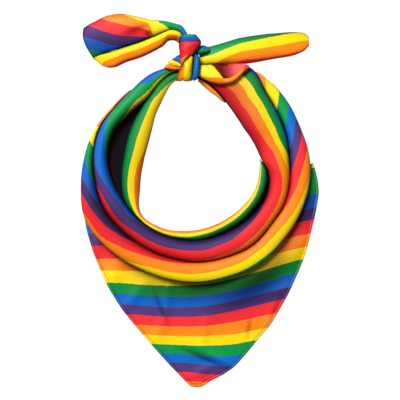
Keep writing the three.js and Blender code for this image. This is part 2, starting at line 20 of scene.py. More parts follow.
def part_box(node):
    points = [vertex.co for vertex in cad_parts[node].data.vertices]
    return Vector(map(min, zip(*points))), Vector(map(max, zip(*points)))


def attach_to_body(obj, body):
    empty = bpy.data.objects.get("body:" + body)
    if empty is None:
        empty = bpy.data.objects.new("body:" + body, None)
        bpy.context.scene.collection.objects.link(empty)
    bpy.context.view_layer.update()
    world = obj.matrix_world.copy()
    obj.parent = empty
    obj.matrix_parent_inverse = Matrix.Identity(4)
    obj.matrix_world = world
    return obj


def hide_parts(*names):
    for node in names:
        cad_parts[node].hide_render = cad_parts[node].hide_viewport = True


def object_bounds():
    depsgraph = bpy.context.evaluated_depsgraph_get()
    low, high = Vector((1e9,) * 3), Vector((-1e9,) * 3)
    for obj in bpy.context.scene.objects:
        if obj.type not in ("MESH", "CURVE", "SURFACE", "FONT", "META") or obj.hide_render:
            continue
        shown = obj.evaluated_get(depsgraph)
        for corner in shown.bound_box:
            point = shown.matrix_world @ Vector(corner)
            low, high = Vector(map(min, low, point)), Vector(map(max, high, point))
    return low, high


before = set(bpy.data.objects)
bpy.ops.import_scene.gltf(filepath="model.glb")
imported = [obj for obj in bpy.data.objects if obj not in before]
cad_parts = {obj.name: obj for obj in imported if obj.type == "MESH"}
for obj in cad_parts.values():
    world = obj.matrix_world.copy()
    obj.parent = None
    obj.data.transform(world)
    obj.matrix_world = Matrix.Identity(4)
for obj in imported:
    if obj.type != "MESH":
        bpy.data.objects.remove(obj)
CAD_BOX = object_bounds()
LOG = logging.getLogger("neckerchief")
BODY = "root"

# Cloth
MM = 0.001
STRIPE = 10.4 * MM
CLOTH = 0.6 * MM
BIB_LIFT = 0.4 * MM
PLAN_SHARE = 0.8

# Cloth is never set lower than this over the table
LEAST_LEVEL = 0.05 * MM

# The band's driving sizes
OPENING_RADIUS = 68 * MM
INNER_WIDTH = 21 * MM
VALLEY_WIDTH = 17 * MM
MIDDLE_WIDTH = 26 * MM
OUTER_WIDTH = 21 * MM
FOLD_HEIGHT = 18 * MM
NARROWEST = 4.6 * MM
SOLE_SLIT = 3 * MM

# The bib, the knot and the tails
BIB_DROP = 243 * MM
BIB_TUCK = 9 * MM
BIB_RELIEF = 4.2 * MM
HEM_WIDTH = 3.2 * MM
HEM_THICKNESS = 1.5 * MM
SEAM_INSET = 0.9 * MM
SEAM_LEVEL = 0.9
KNOT_RISE = 106 * MM
KNOT_OFFSET = 10.5 * MM
KNOT_LENGTH = 47 * MM
KNOT_WIDTH = 21 * MM
CORE_TOP = 12.4 * MM
CORE_SIDES = 64
WRAP_HEIGHT = 14 * MM
LOOP_BASE = 8.8 * MM
LOOP_HEIGHT = 7 * MM
GATHER_BASE = 10.5 * MM
LEFT_LENGTH = 109 * MM
LEFT_WIDTH = 35 * MM
LEFT_HEIGHT = 12 * MM
FLAP_WIDTH = 17 * MM
FLAP_HEIGHT = 11 * MM
RIGHT_LENGTH = 116 * MM
RIGHT_WIDTH = 27 * MM
RIGHT_HEIGHT = 13 * MM
LIP_LENGTH = 53 * MM
LIP_WIDTH = 21.5 * MM
LIP_BASE = 11.4 * MM
LIP_HEIGHT = 7 * MM

# The photograph's frame: how much of the table it shows, and where its middle lies
VIEW_WIDTH = 420 * MM
VIEW_DROP = 47.25 * MM
FLOOR = 3.0
CAMERA_LENS = 85
CAMERA_SENSOR = 36

# The lens shows the raised knot further out than its tables say, so its cloth moves in by a share
# of its level above this one
VIEW_SHARE = 0.5
VIEW_LEVEL = 8 * MM

# Where the opening's centre lies, from the part's own box
LEFT_REACH = 124.04 * MM
TIP_REACH = 243.69 * MM
CENTRE = np.array([CAD_BOX[0][0] + LEFT_REACH, CAD_BOX[0][1] + TIP_REACH])


class BandRow(NamedTuple):
    """Folds of the band in one direction, in degrees round the opening from the knot, anticlockwise.

    Edge is in opening radii, the widths are in the widths of their names, and rises in fold heights.
    """

    at: float
    edge: float
    inner: float
    valley: float
    middle: float
    outer: float
    inner_rise: float
    middle_rise: float
    outer_rise: float


BAND = (
    BandRow(8, 1.21, 0.34, 0.06, 0.24, 0.10, 0.45, 0.45, 0.40),
    BandRow(20, 1.19, 0.40, 0.06, 0.27, 0.10, 0.50, 0.46, 0.40),
    BandRow(30, 1.07, 0.62, 0.02, 0.50, 0.10, 0.60, 0.58, 0.40),
    BandRow(37, 0.99, 0.69, 0.05, 0.62, 0.10, 0.68, 0.72, 0.40),
    BandRow(45, 0.93, 0.76, 0.10, 0.66, 0.12, 0.75, 0.85, 0.45),
    BandRow(60, 0.84, 0.96, 0.50, 0.57, 0.15, 0.85, 0.97, 0.52),
    BandRow(75, 0.81, 1.06, 0.92, 0.55, 0.23, 0.90, 1.00, 0.60),
    BandRow(90, 0.84, 1.04, 1.02, 0.55, 0.44, 0.88, 1.00, 0.65),
    BandRow(105, 0.92, 1.06, 0.62, 0.66, 0.76, 0.83, 1.00, 0.70),
    BandRow(120, 1.06, 0.94, 0.08, 0.82, 1.10, 0.78, 1.00, 0.74),
    BandRow(135, 1.28, 0.27, 0.02, 0.77, 1.13, 0.72, 1.00, 0.76),
    BandRow(150, 1.275, 0.27, 0.02, 0.76, 1.05, 0.72, 1.00, 0.76),
    BandRow(165, 1.21, 0.40, 0.02, 0.80, 1.05, 0.74, 1.00, 0.76),
    BandRow(180, 1.145, 0.52, 0.02, 0.86, 1.05, 0.76, 1.00, 0.76),
    BandRow(195, 1.09, 0.52, 0.06, 0.91, 1.05, 0.77, 1.00, 0.76),
    BandRow(210, 1.05, 0.53, 0.12, 0.92, 1.03, 0.78, 1.00, 0.76),
    BandRow(225, 1.02, 0.50, 0.20, 0.78, 0.97, 0.76, 1.00, 0.76),
    BandRow(240, 0.99, 0.50, 0.16, 0.80, 0.93, 0.72, 1.00, 0.76),
    BandRow(255, 0.945, 0.40, 0.04, 0.90, 0.99, 0.62, 1.02, 0.74),
    BandRow(266, 0.92, 0.05, 0.00, 1.13, 1.05, 0.40, 1.05, 0.72),
    BandRow(285, 0.825, 0.00, 0.00, 1.37, 0.80, 0.40, 1.08, 0.68),
    BandRow(300, 0.782, 0.00, 0.00, 1.49, 0.72, 0.40, 1.05, 0.60),
    BandRow(315, 0.80, 0.00, 0.00, 1.57, 0.52, 0.40, 0.88, 0.50),
    BandRow(330, 0.87, 0.00, 0.00, 1.76, 0.10, 0.40, 0.60, 0.45),
    BandRow(345, 1.01, 0.00, 0.00, 0.95, 0.10, 0.40, 0.50, 0.40),
    BandRow(360, 1.18, 0.00, 0.00, 0.55, 0.10, 0.40, 0.45, 0.40),
)


class PrintRow(NamedTuple):
    """Stripe numbers at the near and the far edge of a piece of cloth, by direction or by section.

    Swell is how far the number halfway between the edges lies above the even one.
    """

    at: float
    near: float
    far: float
    swell: float = 0.0


INNER_PRINT = (
    PrintRow(8, 35.1, 34.0),
    PrintRow(20, 35.2, 34.0),
    PrintRow(30, 35.65, 34.0),
    PrintRow(40, 35.95, 34.35),
    PrintRow(50, 36.0, 34.15),
    PrintRow(60, 36.1, 34.0),
    PrintRow(75, 36.15, 34.0),
    PrintRow(90, 36.25, 34.0),
    PrintRow(100, 36.7, 34.0, -0.1),
    PrintRow(110, 36.9, 34.0, -0.05),
    PrintRow(120, 36.95, 34.0, 0.0),
    PrintRow(130, 36.95, 34.0, 0.05),
    PrintRow(150, 36.95, 34.2, 0.15),
    PrintRow(160, 36.95, 34.1, 0.1),
    PrintRow(170, 36.95, 34.0, -0.15),
    PrintRow(180, 36.9, 34.0, -0.45),
    PrintRow(190, 36.8, 34.0, -0.45),
    PrintRow(200, 36.6, 34.0, -0.5),
    PrintRow(210, 36.45, 34.0, -0.52),
    PrintRow(220, 36.3, 34.0, -0.5),
    PrintRow(230, 36.0, 34.0, -0.4),
    PrintRow(240, 35.6, 34.0, -0.3),
    PrintRow(250, 35.4, 34.0, -0.2),
    PrintRow(262, 35.35, 34.05),
)
MIDDLE_PRINT = (
    PrintRow(8, 29.6, 27.7),
    PrintRow(20, 29.6, 27.4, -0.2),
    PrintRow(30, 29.85, 27.05, -0.45),
    PrintRow(36, 29.6, 27.15, -0.3),
    PrintRow(40, 29.42, 27.6),
    PrintRow(50, 29.4, 27.85),
    PrintRow(60, 29.17, 27.9),
    PrintRow(70, 29.02, 27.6),
    PrintRow(80, 28.6, 26.9),
    PrintRow(90, 28.15, 26.8),
    PrintRow(100, 28.0, 26.45),
    PrintRow(110, 27.85, 25.5),
    PrintRow(120, 27.55, 25.3),
    PrintRow(130, 27.5, 25.3),
    PrintRow(140, 27.15, 25.1),
    PrintRow(150, 27.08, 25.03),
    PrintRow(160, 27.06, 24.95),
    PrintRow(170, 27.05, 24.8),
    PrintRow(180, 27.05, 24.75),
    PrintRow(190, 26.97, 24.6),
    PrintRow(200, 26.87, 24.5),
    PrintRow(210, 26.6, 24.3),
    PrintRow(220, 26.4, 24.35),
    PrintRow(230, 26.2, 24.35),
    PrintRow(240, 26.12, 24.2, 0.1),
    PrintRow(250, 26.05, 24.0, 0.25),
    PrintRow(260, 26.05, 23.65, 0.25),
    PrintRow(270, 26.1, 22.6, 0.6),
    PrintRow(280, 26.1, 21.5, 0.66),
    PrintRow(290, 26.08, 21.5, 0.4),
    PrintRow(300, 26.1, 21.5, 0.37),
    PrintRow(310, 26.1, 21.7, 0.33),
    PrintRow(320, 26.1, 21.8, 0.1),
    PrintRow(330, 26.1, 21.6, 0.33),
    PrintRow(345, 26.15, 22.5, 0.3),
    PrintRow(360, 26.2, 24.2),
)
OUTER_PRINT = (
    PrintRow(47, 26.0, 25.7),
    PrintRow(60, 25.07, 25.0),
    PrintRow(70, 24.15, 24.4),
    PrintRow(75, 23.8, 24.05),
    PrintRow(82, 23.4, 23.0),
    PrintRow(90, 22.9, 21.85),
    PrintRow(100, 22.45, 20.9),
    PrintRow(110, 21.75, 19.5),
    PrintRow(120, 21.15, 18.5),
    PrintRow(130, 20.65, 18.5),
    PrintRow(140, 20.25, 17.95),
    PrintRow(150, 19.7, 17.6),
    PrintRow(160, 19.45, 16.95, 0.2),
    PrintRow(170, 19.25, 16.8, 0.2),
    PrintRow(180, 19.1, 16.7, 0.15),
    PrintRow(190, 19.0, 16.5, 0.2),
    PrintRow(200, 18.97, 16.5, 0.15),
    PrintRow(210, 18.85, 16.45, 0.05),
    PrintRow(220, 18.95, 16.75),
    PrintRow(230, 19.1, 16.95),
    PrintRow(240, 19.3, 17.1, 0.1),
    PrintRow(250, 19.75, 17.45),
    PrintRow(260, 20.15, 17.9),
    PrintRow(270, 20.9, 18.5),
    PrintRow(285, 22.0, 20.1),
    PrintRow(300, 23.0, 22.0),
    PrintRow(315, 24.05, 23.5),
    PrintRow(330, 24.8, 24.8),
)
VALLEY_STRIPES = (33.7, 31.1)
# Cloth deep between two folds is painted almost black as shade
DEEP_SHADE = 0.01
LOWER_VALLEY_STRIPES = (33.9, 32.2)
CREASE_STRIPES = (2.2, 2.8)
RIGHT_CREASE_STRIPES = (1.2, 2.6)
INNER_RIGHT_STRIPES = (36.9, 36.1)
CREASE_OVERLAP = 2.6 * MM
# Painted shade along every roll's turned edges: how light the edge stays, and the share of the section it
# reaches over
EDGE_SHADE = 0.32
EDGE_REACH = 0.13

# Painted shade at the folds' edges, by direction: how light they stay, how far that shade reaches, and where
# the inner fold is shaded to gold
MIDDLE_NEAR_SHADE = ((30, 0.75), (60, 0.3), (255, 0.3), (267, 0.08), (285, 0.25), (320, 0.3))
MIDDLE_NEAR_REACH = ((255, 0.32), (267, 0.14), (285, 0.36), (320, 0.5), (345, 0.62))
MIDDLE_FAR_SHADE = ((60, 0.3), (110, 0.2), (125, 0.1), (160, 0.1), (185, 0.3), (262, 0.4))
MIDDLE_FAR_REACH = ((20, 0.3), (45, 0.12), (110, 0.16), (125, 0.36), (160, 0.34), (185, 0.2))
OUTER_NEAR_REACH = ((95, 0.3), (115, 0.5), (150, 0.3), (180, 0.15))
INNER_FAR_REACH = ((15, 0.4), (40, 0.17), (120, 0.2), (165, 0.2), (195, 0.42), (260, 0.42))
INNER_GOLDEN_SHADE = ((15, 0), (40, 1), (118, 1), (135, 0))


class Span(NamedTuple):
    """Where a fold of the band starts and ends, in degrees."""

    first: float
    last: float


INNER_SPAN = Span(9, 266)
INNER_END_WIDTHS = ((255, 3.0), (266, 0.6))
INNER_RIGHT_SPAN = Span(334.5, 361.5)
RIGHT_CREASE_SPAN = Span(334, 361)
VALLEY_SPAN = Span(12, 126)
LOWER_VALLEY_SPAN = Span(125.5, 264)
CREASE_SPAN = Span(52, 324)
RIGHT_END_WIDTHS = (
    (334, 0.8), (337, 2.6), (340, 4.0), (345, 5.0), (350, 6.4), (355, 6.4), (358, 6.0), (361.5, 3.4),
)
MIDDLE_SPAN = Span(11, 364)
OUTER_SPAN = Span(46.5, 326)


class HemRow(NamedTuple):
    """Distance of the bib's hem from the opening's centre, in bib drops, by direction."""

    at: float
    reach: float


HEM = (
    HemRow(117, 0.560),
    HemRow(121, 0.577),
    HemRow(130, 0.612),
    HemRow(139, 0.656),
    HemRow(145, 0.692),
    HemRow(151, 0.731),
    HemRow(157, 0.772),
    HemRow(162, 0.811),
    HemRow(167, 0.859),
    HemRow(171, 0.906),
    HemRow(174, 0.945),
    HemRow(176.4, 0.980),
    HemRow(177.6, 0.998),
    HemRow(179, 1.003),
    HemRow(180.5, 1.000),
    HemRow(182.5, 0.979),
    HemRow(186, 0.953),
    HemRow(189.4, 0.923),
    HemRow(193, 0.882),
    HemRow(197.5, 0.834),
    HemRow(202, 0.797),
    HemRow(206.4, 0.757),
    HemRow(211, 0.721),
    HemRow(215.5, 0.688),
    HemRow(220.3, 0.658),
    HemRow(225, 0.632),
    HemRow(235, 0.583),
    HemRow(246, 0.551),
    HemRow(253, 0.536),
    HemRow(266, 0.489),
)
HEM_POINT = 179


class StripeLine(NamedTuple):
    """One stripe boundary across the bib: where it meets both hems, in mm from the opening's centre.

    The sags are how far the line hangs below the straight one, at a quarter, a half and three quarters.
    """

    number: float
    left_x: float
    left_y: float
    right_x: float
    right_y: float
    sag_left: float
    sag_middle: float
    sag_right: float


BIB_LINES = (
    StripeLine(0, -14, -243.0, 8, -243.0, 0, 0, 0),
    StripeLine(1, -14.8, -237.3, 10.5, -237.6, 0.3, 0.6, 0.6),
    StripeLine(2, -24.2, -227.5, 24.2, -230.3, -0.9, -0.2, 0.8),
    StripeLine(3, -34.0, -217.6, 36.5, -221.2, -1.0, 0, 0.8),
    StripeLine(4, -43.1, -207.6, 48.3, -208.8, 0.7, 2.4, 2.5),
    StripeLine(5, -52.1, -197.7, 60.9, -193.2, 2.6, 4.4, 4.8),
    StripeLine(6, -60.2, -187.7, 72.1, -179.8, 4.0, 5.9, 5.9),
    StripeLine(7, -69.3, -177.5, 81.7, -164.7, 5.5, 8.4, 5.7),
    StripeLine(8, -78.4, -166.1, 90.8, -149.7, 7.9, 11.4, 6.8),
    StripeLine(9, -86.4, -155.2, 98.0, -136.0, 9.3, 13.6, 8.0),
    StripeLine(10, -92.7, -144.4, 103.4, -121.8, 9.5, 15.3, 9.8),
    StripeLine(11, -99.5, -132.6, 108.4, -107.6, 10.7, 16.6, 9.8),
    StripeLine(12, -104.5, -119.9, 111.9, -94.6, 8.4, 16.8, 8.5),
    StripeLine(13, -109.6, -108.2, 115.8, -81.1, 8, 16, 7),
    StripeLine(14, -114.2, -94.3, 119.5, -66.6, 8, 16, 7),
    StripeLine(15, -117.2, -81.1, 122.2, -54.0, 8, 16, 7),
    StripeLine(16, -119.2, -72.5, 123.9, -38.9, 8, 16, 7),
    StripeLine(18, -124, -50, 121, 16, 8, 16, 7),
)
SAG_PLACES = (0, 0.25, 0.5, 0.75, 1)
SAG_WINDOW = (-0.09, -0.06, -0.03, 0, 0.03, 0.06, 0.09)


class DentOrShade(NamedTuple):
    """A soft ridge of the bib, or a patch of painted shade on any cloth, in mm from the opening's centre.

    Rise is in bib reliefs for a ridge, and the share of light painted out for a patch of shade.
    """

    x: float
    y: float
    length: float
    breadth: float
    turn: float
    rise: float


DENTS = (
    DentOrShade(-92, -128, 26, 9, 60, 0.55),
    DentOrShade(-70, -150, 30, 6, 52, 0.35),
    DentOrShade(-34, -150, 40, 5, 84, 0.28),
    DentOrShade(-44, -186, 22, 5, 66, 0.30),
    DentOrShade(4, -186, 26, 5, 80, 0.25),
    DentOrShade(20, -213, 24, 5, -28, 0.62),
    DentOrShade(4, -226, 16, 5, 22, 0.35),
    DentOrShade(58, -128, 44, 13, 36, 0.85),
    DentOrShade(74, -172, 16, 4, 74, 0.50),
    DentOrShade(88, -140, 18, 5, 20, 0.45),
    DentOrShade(104, -96, 26, 8, 62, 0.60),
    DentOrShade(112, -62, 24, 7, 80, 0.55),
    DentOrShade(-108, -92, 22, 7, 74, 0.45),
)
# Painted shadow and shade on the bib: the band's cast shadow just below it, and darker lines along its
# creases
BIB_PAINTED_SHADOWS = (
    DentOrShade(64, -127, 42, 17, 33, 0.72),
    DentOrShade(0, -141, 64, 14, 0, 0.50),
    DentOrShade(112, -58, 30, 7, 70, 0.55),
    DentOrShade(-72, -116, 34, 7, -34, 0.45),
    DentOrShade(3, -212, 20, 2.8, -24, 0.55),
    DentOrShade(-42, -158, 17, 2.6, -66, 0.35),
    DentOrShade(51, -181, 9, 2.4, 80, 0.35),
    DentOrShade(78, -160, 14, 3, 60, 0.30),
    DentOrShade(92, -86, 30, 6, 66, 0.35),
)
# Painted shade on the left tail and its flap, under its folds and in its creases
TAIL_PAINTED_SHADE = (
    DentOrShade(-53.5, 126.5, 4.5, 2.8, 0, 0.80),
    DentOrShade(-68, 129, 13, 4, 20, 0.68),
    DentOrShade(-30, 121, 9, 3, 20, 0.40),
    DentOrShade(-103, 115, 32, 13, 8, 0.38),
    DentOrShade(-24, 121, 6, 3, 25, 0.55),
)
# Painted shade in the knot's creases
KNOT_PAINTED_SHADE = (
    DentOrShade(-12.3, 98.6, 4.2, 1.5, 58, 0.75),
    DentOrShade(-9, 110, 9, 1.1, 30, 0.40),
    DentOrShade(-13, 105, 8, 1.0, 34, 0.35),
    DentOrShade(-10, 117.5, 12, 3, 0, 0.30),
    DentOrShade(-8, 92, 9, 1.0, 70, 0.40),
    DentOrShade(-20, 86, 9, 1.2, 60, 0.35),
    DentOrShade(-24, 91, 5, 1.2, -10, 0.45),
)
TAIL_END_BOW = 4.4 * MM


class TailRow(NamedTuple):
    """One section of the left tail and its flap, from the knot outwards.

    X in tail lengths from the root. Y of top and crease in tail widths, low in flap widths below the crease.
    """

    at: float
    top_x: float
    top_y: float
    crease_x: float
    crease_y: float
    low_x: float
    low_y: float
    rise: float


LEFT_TAIL = (
    TailRow(0, -0.03, -0.13, 0.028, -0.19, 0.05, 0.42, 0.62),
    TailRow(0.4, 0.03, 0.17, 0.055, 0.00, 0.10, 0.50, 0.70),
    TailRow(1, 0.11, 0.27, 0.13, 0.08, 0.172, 0.66, 0.78),
    TailRow(2, 0.21, 0.34, 0.21, 0.02, 0.222, 0.86, 0.90),
    TailRow(3, 0.32, 0.37, 0.32, -0.13, 0.302, 0.86, 0.95),
    TailRow(4, 0.46, 0.46, 0.46, -0.30, 0.43, 0.91, 1.00),
    TailRow(5, 0.61, 0.56, 0.60, -0.44, 0.572, 0.91, 1.00),
    TailRow(6, 0.76, 0.50, 0.74, -0.57, 0.67, 0.93, 0.85),
    TailRow(7, 0.90, 0.31, 0.84, -0.66, 0.745, 0.80, 0.58),
    TailRow(8, 0.985, 0.16, 0.895, -0.75, 0.80, 0.50, 0.30),
)
LEFT_PRINT = (
    PrintRow(0, -2.9, -2.2),
    PrintRow(1, -1.9, -1.2),
    PrintRow(2, -1.4, -0.6),
    PrintRow(3, -0.95, 0.1),
    PrintRow(3.35, -0.8, 2.0),
    PrintRow(4, -0.65, 2.6, 0.15),
    PrintRow(5, -0.1, 3.05, -0.1),
    PrintRow(6, 0.5, 3.55),
    PrintRow(7, 1.6, 4.25, -0.1),
    PrintRow(8, 2.15, 4.85),
)
FLAP_PRINT = (
    PrintRow(0, 5.1, 6.6),
    PrintRow(1, 4.95, 7.1),
    PrintRow(2, 4.7, 7.3),
    PrintRow(4, 4.65, 7.35),
    PrintRow(6, 4.65, 7.3),
    PrintRow(7, 4.8, 6.9),
    PrintRow(8, 4.95, 6.0),
)


class EdgeRow(NamedTuple):
    """One section of a flat roll: its edges across, its height, and the stripes at both edges."""

    at: float
    top: float
    low: float
    rise: float
    near: float
    far: float


RIGHT_TAIL = (
    EdgeRow(0.00, 0.26, -0.36, 0.72, 4.0, 5.75),
    EdgeRow(0.12, 0.37, -0.36, 0.95, 4.05, 5.95),
    EdgeRow(0.24, 0.52, -0.34, 1.00, 4.1, 6.7),
    EdgeRow(0.37, 0.68, -0.33, 0.96, 4.2, 7.4),
    EdgeRow(0.52, 0.78, -0.23, 0.85, 4.4, 7.3),
    EdgeRow(0.68, 0.86, -0.11, 0.70, 4.65, 7.2),
    EdgeRow(0.83, 0.92, 0.01, 0.56, 4.85, 7.2),
    EdgeRow(0.94, 0.90, 0.20, 0.40, 5.0, 7.15),
    EdgeRow(0.99, 0.76, 0.42, 0.28, 5.2, 7.0),
)


class QuadRow(NamedTuple):
    """One section between two edges given in plan, with its height and the stripes at both edges."""

    at: float
    near_x: float
    near_y: float
    far_x: float
    far_y: float
    rise: float
    near: float
    far: float


LIP_OUTER = (
    QuadRow(0, 0.00, 0.02, 0.00, 0.62, 0.70, 4.9, 6.1),
    QuadRow(1, 0.12, 0.02, 0.20, 0.86, 0.90, 4.9, 6.3),
    QuadRow(2, 0.24, 0.03, 0.38, 0.96, 1.00, 4.9, 6.5),
    QuadRow(3, 0.36, 0.32, 0.48, 0.97, 0.95, 5.1, 6.6),
    QuadRow(4, 0.47, 0.66, 0.54, 0.95, 0.80, 5.6, 6.7),
)
LIP_RIM = (
    QuadRow(0, 0.48, 0.70, 0.52, 0.95, 0.86, 5.9, 6.7),
    QuadRow(1, 0.57, 0.68, 0.62, 0.91, 0.86, 5.95, 6.75),
    QuadRow(2, 0.66, 0.58, 0.73, 0.76, 0.84, 6.0, 6.8),
    QuadRow(3, 0.78, 0.34, 0.85, 0.47, 0.78, 6.3, 7.2),
    QuadRow(4, 0.88, 0.12, 0.95, 0.24, 0.70, 6.9, 7.7),
    QuadRow(5, 0.92, 0.02, 0.98, 0.10, 0.55, 7.0, 7.8),
)
LIP_POCKET = (
    QuadRow(0, 0.24, -0.05, 0.40, 0.50, 0.12, 7.0, 7.4),
    QuadRow(1, 0.38, -0.05, 0.50, 0.80, 0.10, 7.1, 7.5),
    QuadRow(2, 0.55, -0.05, 0.61, 0.82, 0.16, 7.2, 7.5),
    QuadRow(3, 0.72, -0.05, 0.74, 0.60, 0.24, 7.2, 7.5),
    QuadRow(4, 0.90, -0.05, 0.93, 0.14, 0.32, 7.2, 7.5),
)
POCKET_SHADE = ((0.3, 0.12), (0.5, 0.45), (0.75, 1))
UPPER_WRAP = (
    QuadRow(0, -0.475, 0.400, 0.275, 0.430, 0.40, 4.3, 4.3),
    QuadRow(1, -0.520, 0.340, 0.430, 0.350, 0.66, 3.75, 3.7),
    QuadRow(2, -0.535, 0.270, 0.530, 0.285, 0.86, 3.1, 3.05),
    QuadRow(2.5, -0.533, 0.225, 0.550, 0.245, 0.93, 1.97, 1.97),
    QuadRow(3, -0.530, 0.180, 0.560, 0.200, 0.98, 1.85, 1.75),
    QuadRow(4, -0.505, 0.045, 0.370, 0.085, 1.00, 1.5, 1.08),
    QuadRow(5, -0.490, -0.090, 0.170, -0.027, 0.92, 1.15, 0.8),
    QuadRow(6, -0.480, -0.200, -0.170, -0.145, 0.72, 0.9, 0.5),
    QuadRow(7, -0.450, -0.270, -0.350, -0.235, 0.50, 0.7, 0.35),
)
LOWER_WRAP = (
    QuadRow(0, -0.075, -0.085, 0.175, -0.056, 0.62, 5.05, 4.95),
    QuadRow(1, -0.275, -0.190, 0.180, -0.156, 0.84, 5.8, 5.0),
    QuadRow(2, -0.410, -0.280, 0.165, -0.290, 0.90, 6.4, 5.0),
    QuadRow(3, -0.535, -0.390, 0.130, -0.425, 0.84, 6.6, 5.0),
    QuadRow(4, -0.640, -0.520, 0.060, -0.545, 0.66, 6.7, 5.15),
    QuadRow(5, -0.660, -0.595, -0.060, -0.600, 0.42, 6.7, 5.6),
)
LOWER_BAND = (
    QuadRow(0, 0.20, -0.033, 0.375, -0.022, 0.55, 3.95, 3.1),
    QuadRow(1, 0.175, -0.134, 0.495, -0.134, 0.78, 4.2, 3.05),
    QuadRow(2, 0.155, -0.268, 0.505, -0.280, 0.85, 4.25, 3.0),
    QuadRow(3, 0.115, -0.400, 0.485, -0.425, 0.78, 4.25, 3.0),
    QuadRow(4, 0.090, -0.525, 0.410, -0.530, 0.62, 4.1, 3.1),
    QuadRow(5, -0.030, -0.580, 0.220, -0.580, 0.38, 4.0, 3.3),
)
LOOP_UPPER = (
    QuadRow(0, -0.46, -0.235, -0.43, -0.335, 1.00, 4.9, 6.05),
    QuadRow(1, -0.675, -0.185, -0.68, -0.300, 0.95, 4.95, 6.0),
    QuadRow(2, -0.90, -0.150, -0.97, -0.280, 0.75, 5.0, 5.95),
    QuadRow(3, -1.08, -0.215, -1.15, -0.285, 0.45, 5.1, 5.9),
)
LOOP_LOWER = (
    QuadRow(0, -0.43, -0.290, -0.46, -0.390, 0.85, 5.8, 7.3),
    QuadRow(1, -0.70, -0.260, -0.75, -0.390, 0.88, 5.8, 7.3),
    QuadRow(2, -0.97, -0.240, -1.04, -0.375, 0.78, 5.8, 7.2),
    QuadRow(3, -1.17, -0.265, -1.29, -0.345, 0.45, 5.9, 7.0),
)
LOOP_TUCK = (
    QuadRow(0, -0.470, -0.040, -0.440, -0.265, 0.85, 3.15, 3.9),
    QuadRow(1, -0.660, -0.080, -0.620, -0.220, 0.80, 3.2, 3.9),
    QuadRow(2, -0.880, -0.140, -0.830, -0.190, 0.50, 3.3, 3.9),
)
GATHER = (
    QuadRow(0, 0.325, 0.100, 0.375, -0.045, 0.90, 3.1, 4.9),
    QuadRow(1, 0.550, 0.167, 0.600, -0.022, 1.00, 3.1, 4.9),
    QuadRow(2, 0.800, 0.156, 0.850, 0.000, 0.80, 3.3, 4.85),
    QuadRow(3, 0.975, 0.110, 1.000, 0.022, 0.45, 3.8, 4.7),
)


# One band of Blender's wave texture takes a metre at this share of its scale
WAVE_TURN = 6.28


class SatinColour(Enum):
    """The print's six colours, in the order of the stripe numbers, as sRGB hex values."""

    ORANGE = "FC8C14"
    RED = "FA3038"
    PURPLE = "56387A"
    BLUE = "006CC8"
    GREEN = "00964A"
    YELLOW = "FFDE08"


def linear(hex_colour: str, fade: float = 0.0) -> tuple[float, float, float, float]:
    """Turns an sRGB hex colour to linear, faded towards white.

    Args:
        hex_colour: six hex digits.
        fade: share of white mixed in.

    Returns:
        Linear red, green, blue and alpha.
    """
    channels = [int(hex_colour[place:place + 2], 16) / 255 for place in (0, 2, 4)]
    lifted = [channel + (1 - channel) * fade for channel in channels]
    curve = [value / 12.92 if value <= 0.04045 else ((value + 0.055) / 1.055) ** 2.4 for value in lifted]
    return (*curve, 1.0)


def add_node(
    tree: bpy.types.NodeTree, kind: str, settings: dict | None = None, **links: object,
) -> bpy.types.Node:
    """Adds one node with its settings and its inputs.

    Args:
        tree: node tree that gets the node.
        kind: Blender's type name of the node.
        settings: attributes of the node, by name.
        **links: inputs by name with spaces as underscores, or by index as in_0. A socket is linked,
            and a value is set.

    Returns:
        The new node.
    """
    node = tree.nodes.new(kind)
    for name, value in (settings or {}).items():
        setattr(node, name, value)
    for name, value in links.items():
        key = int(name[3:]) if name.startswith("in_") else name.replace("_", " ")
        socket = node.inputs[key]
        if isinstance(value, bpy.types.NodeSocket):
            tree.links.new(value, socket)
        else:
            socket.default_value = value
    return node


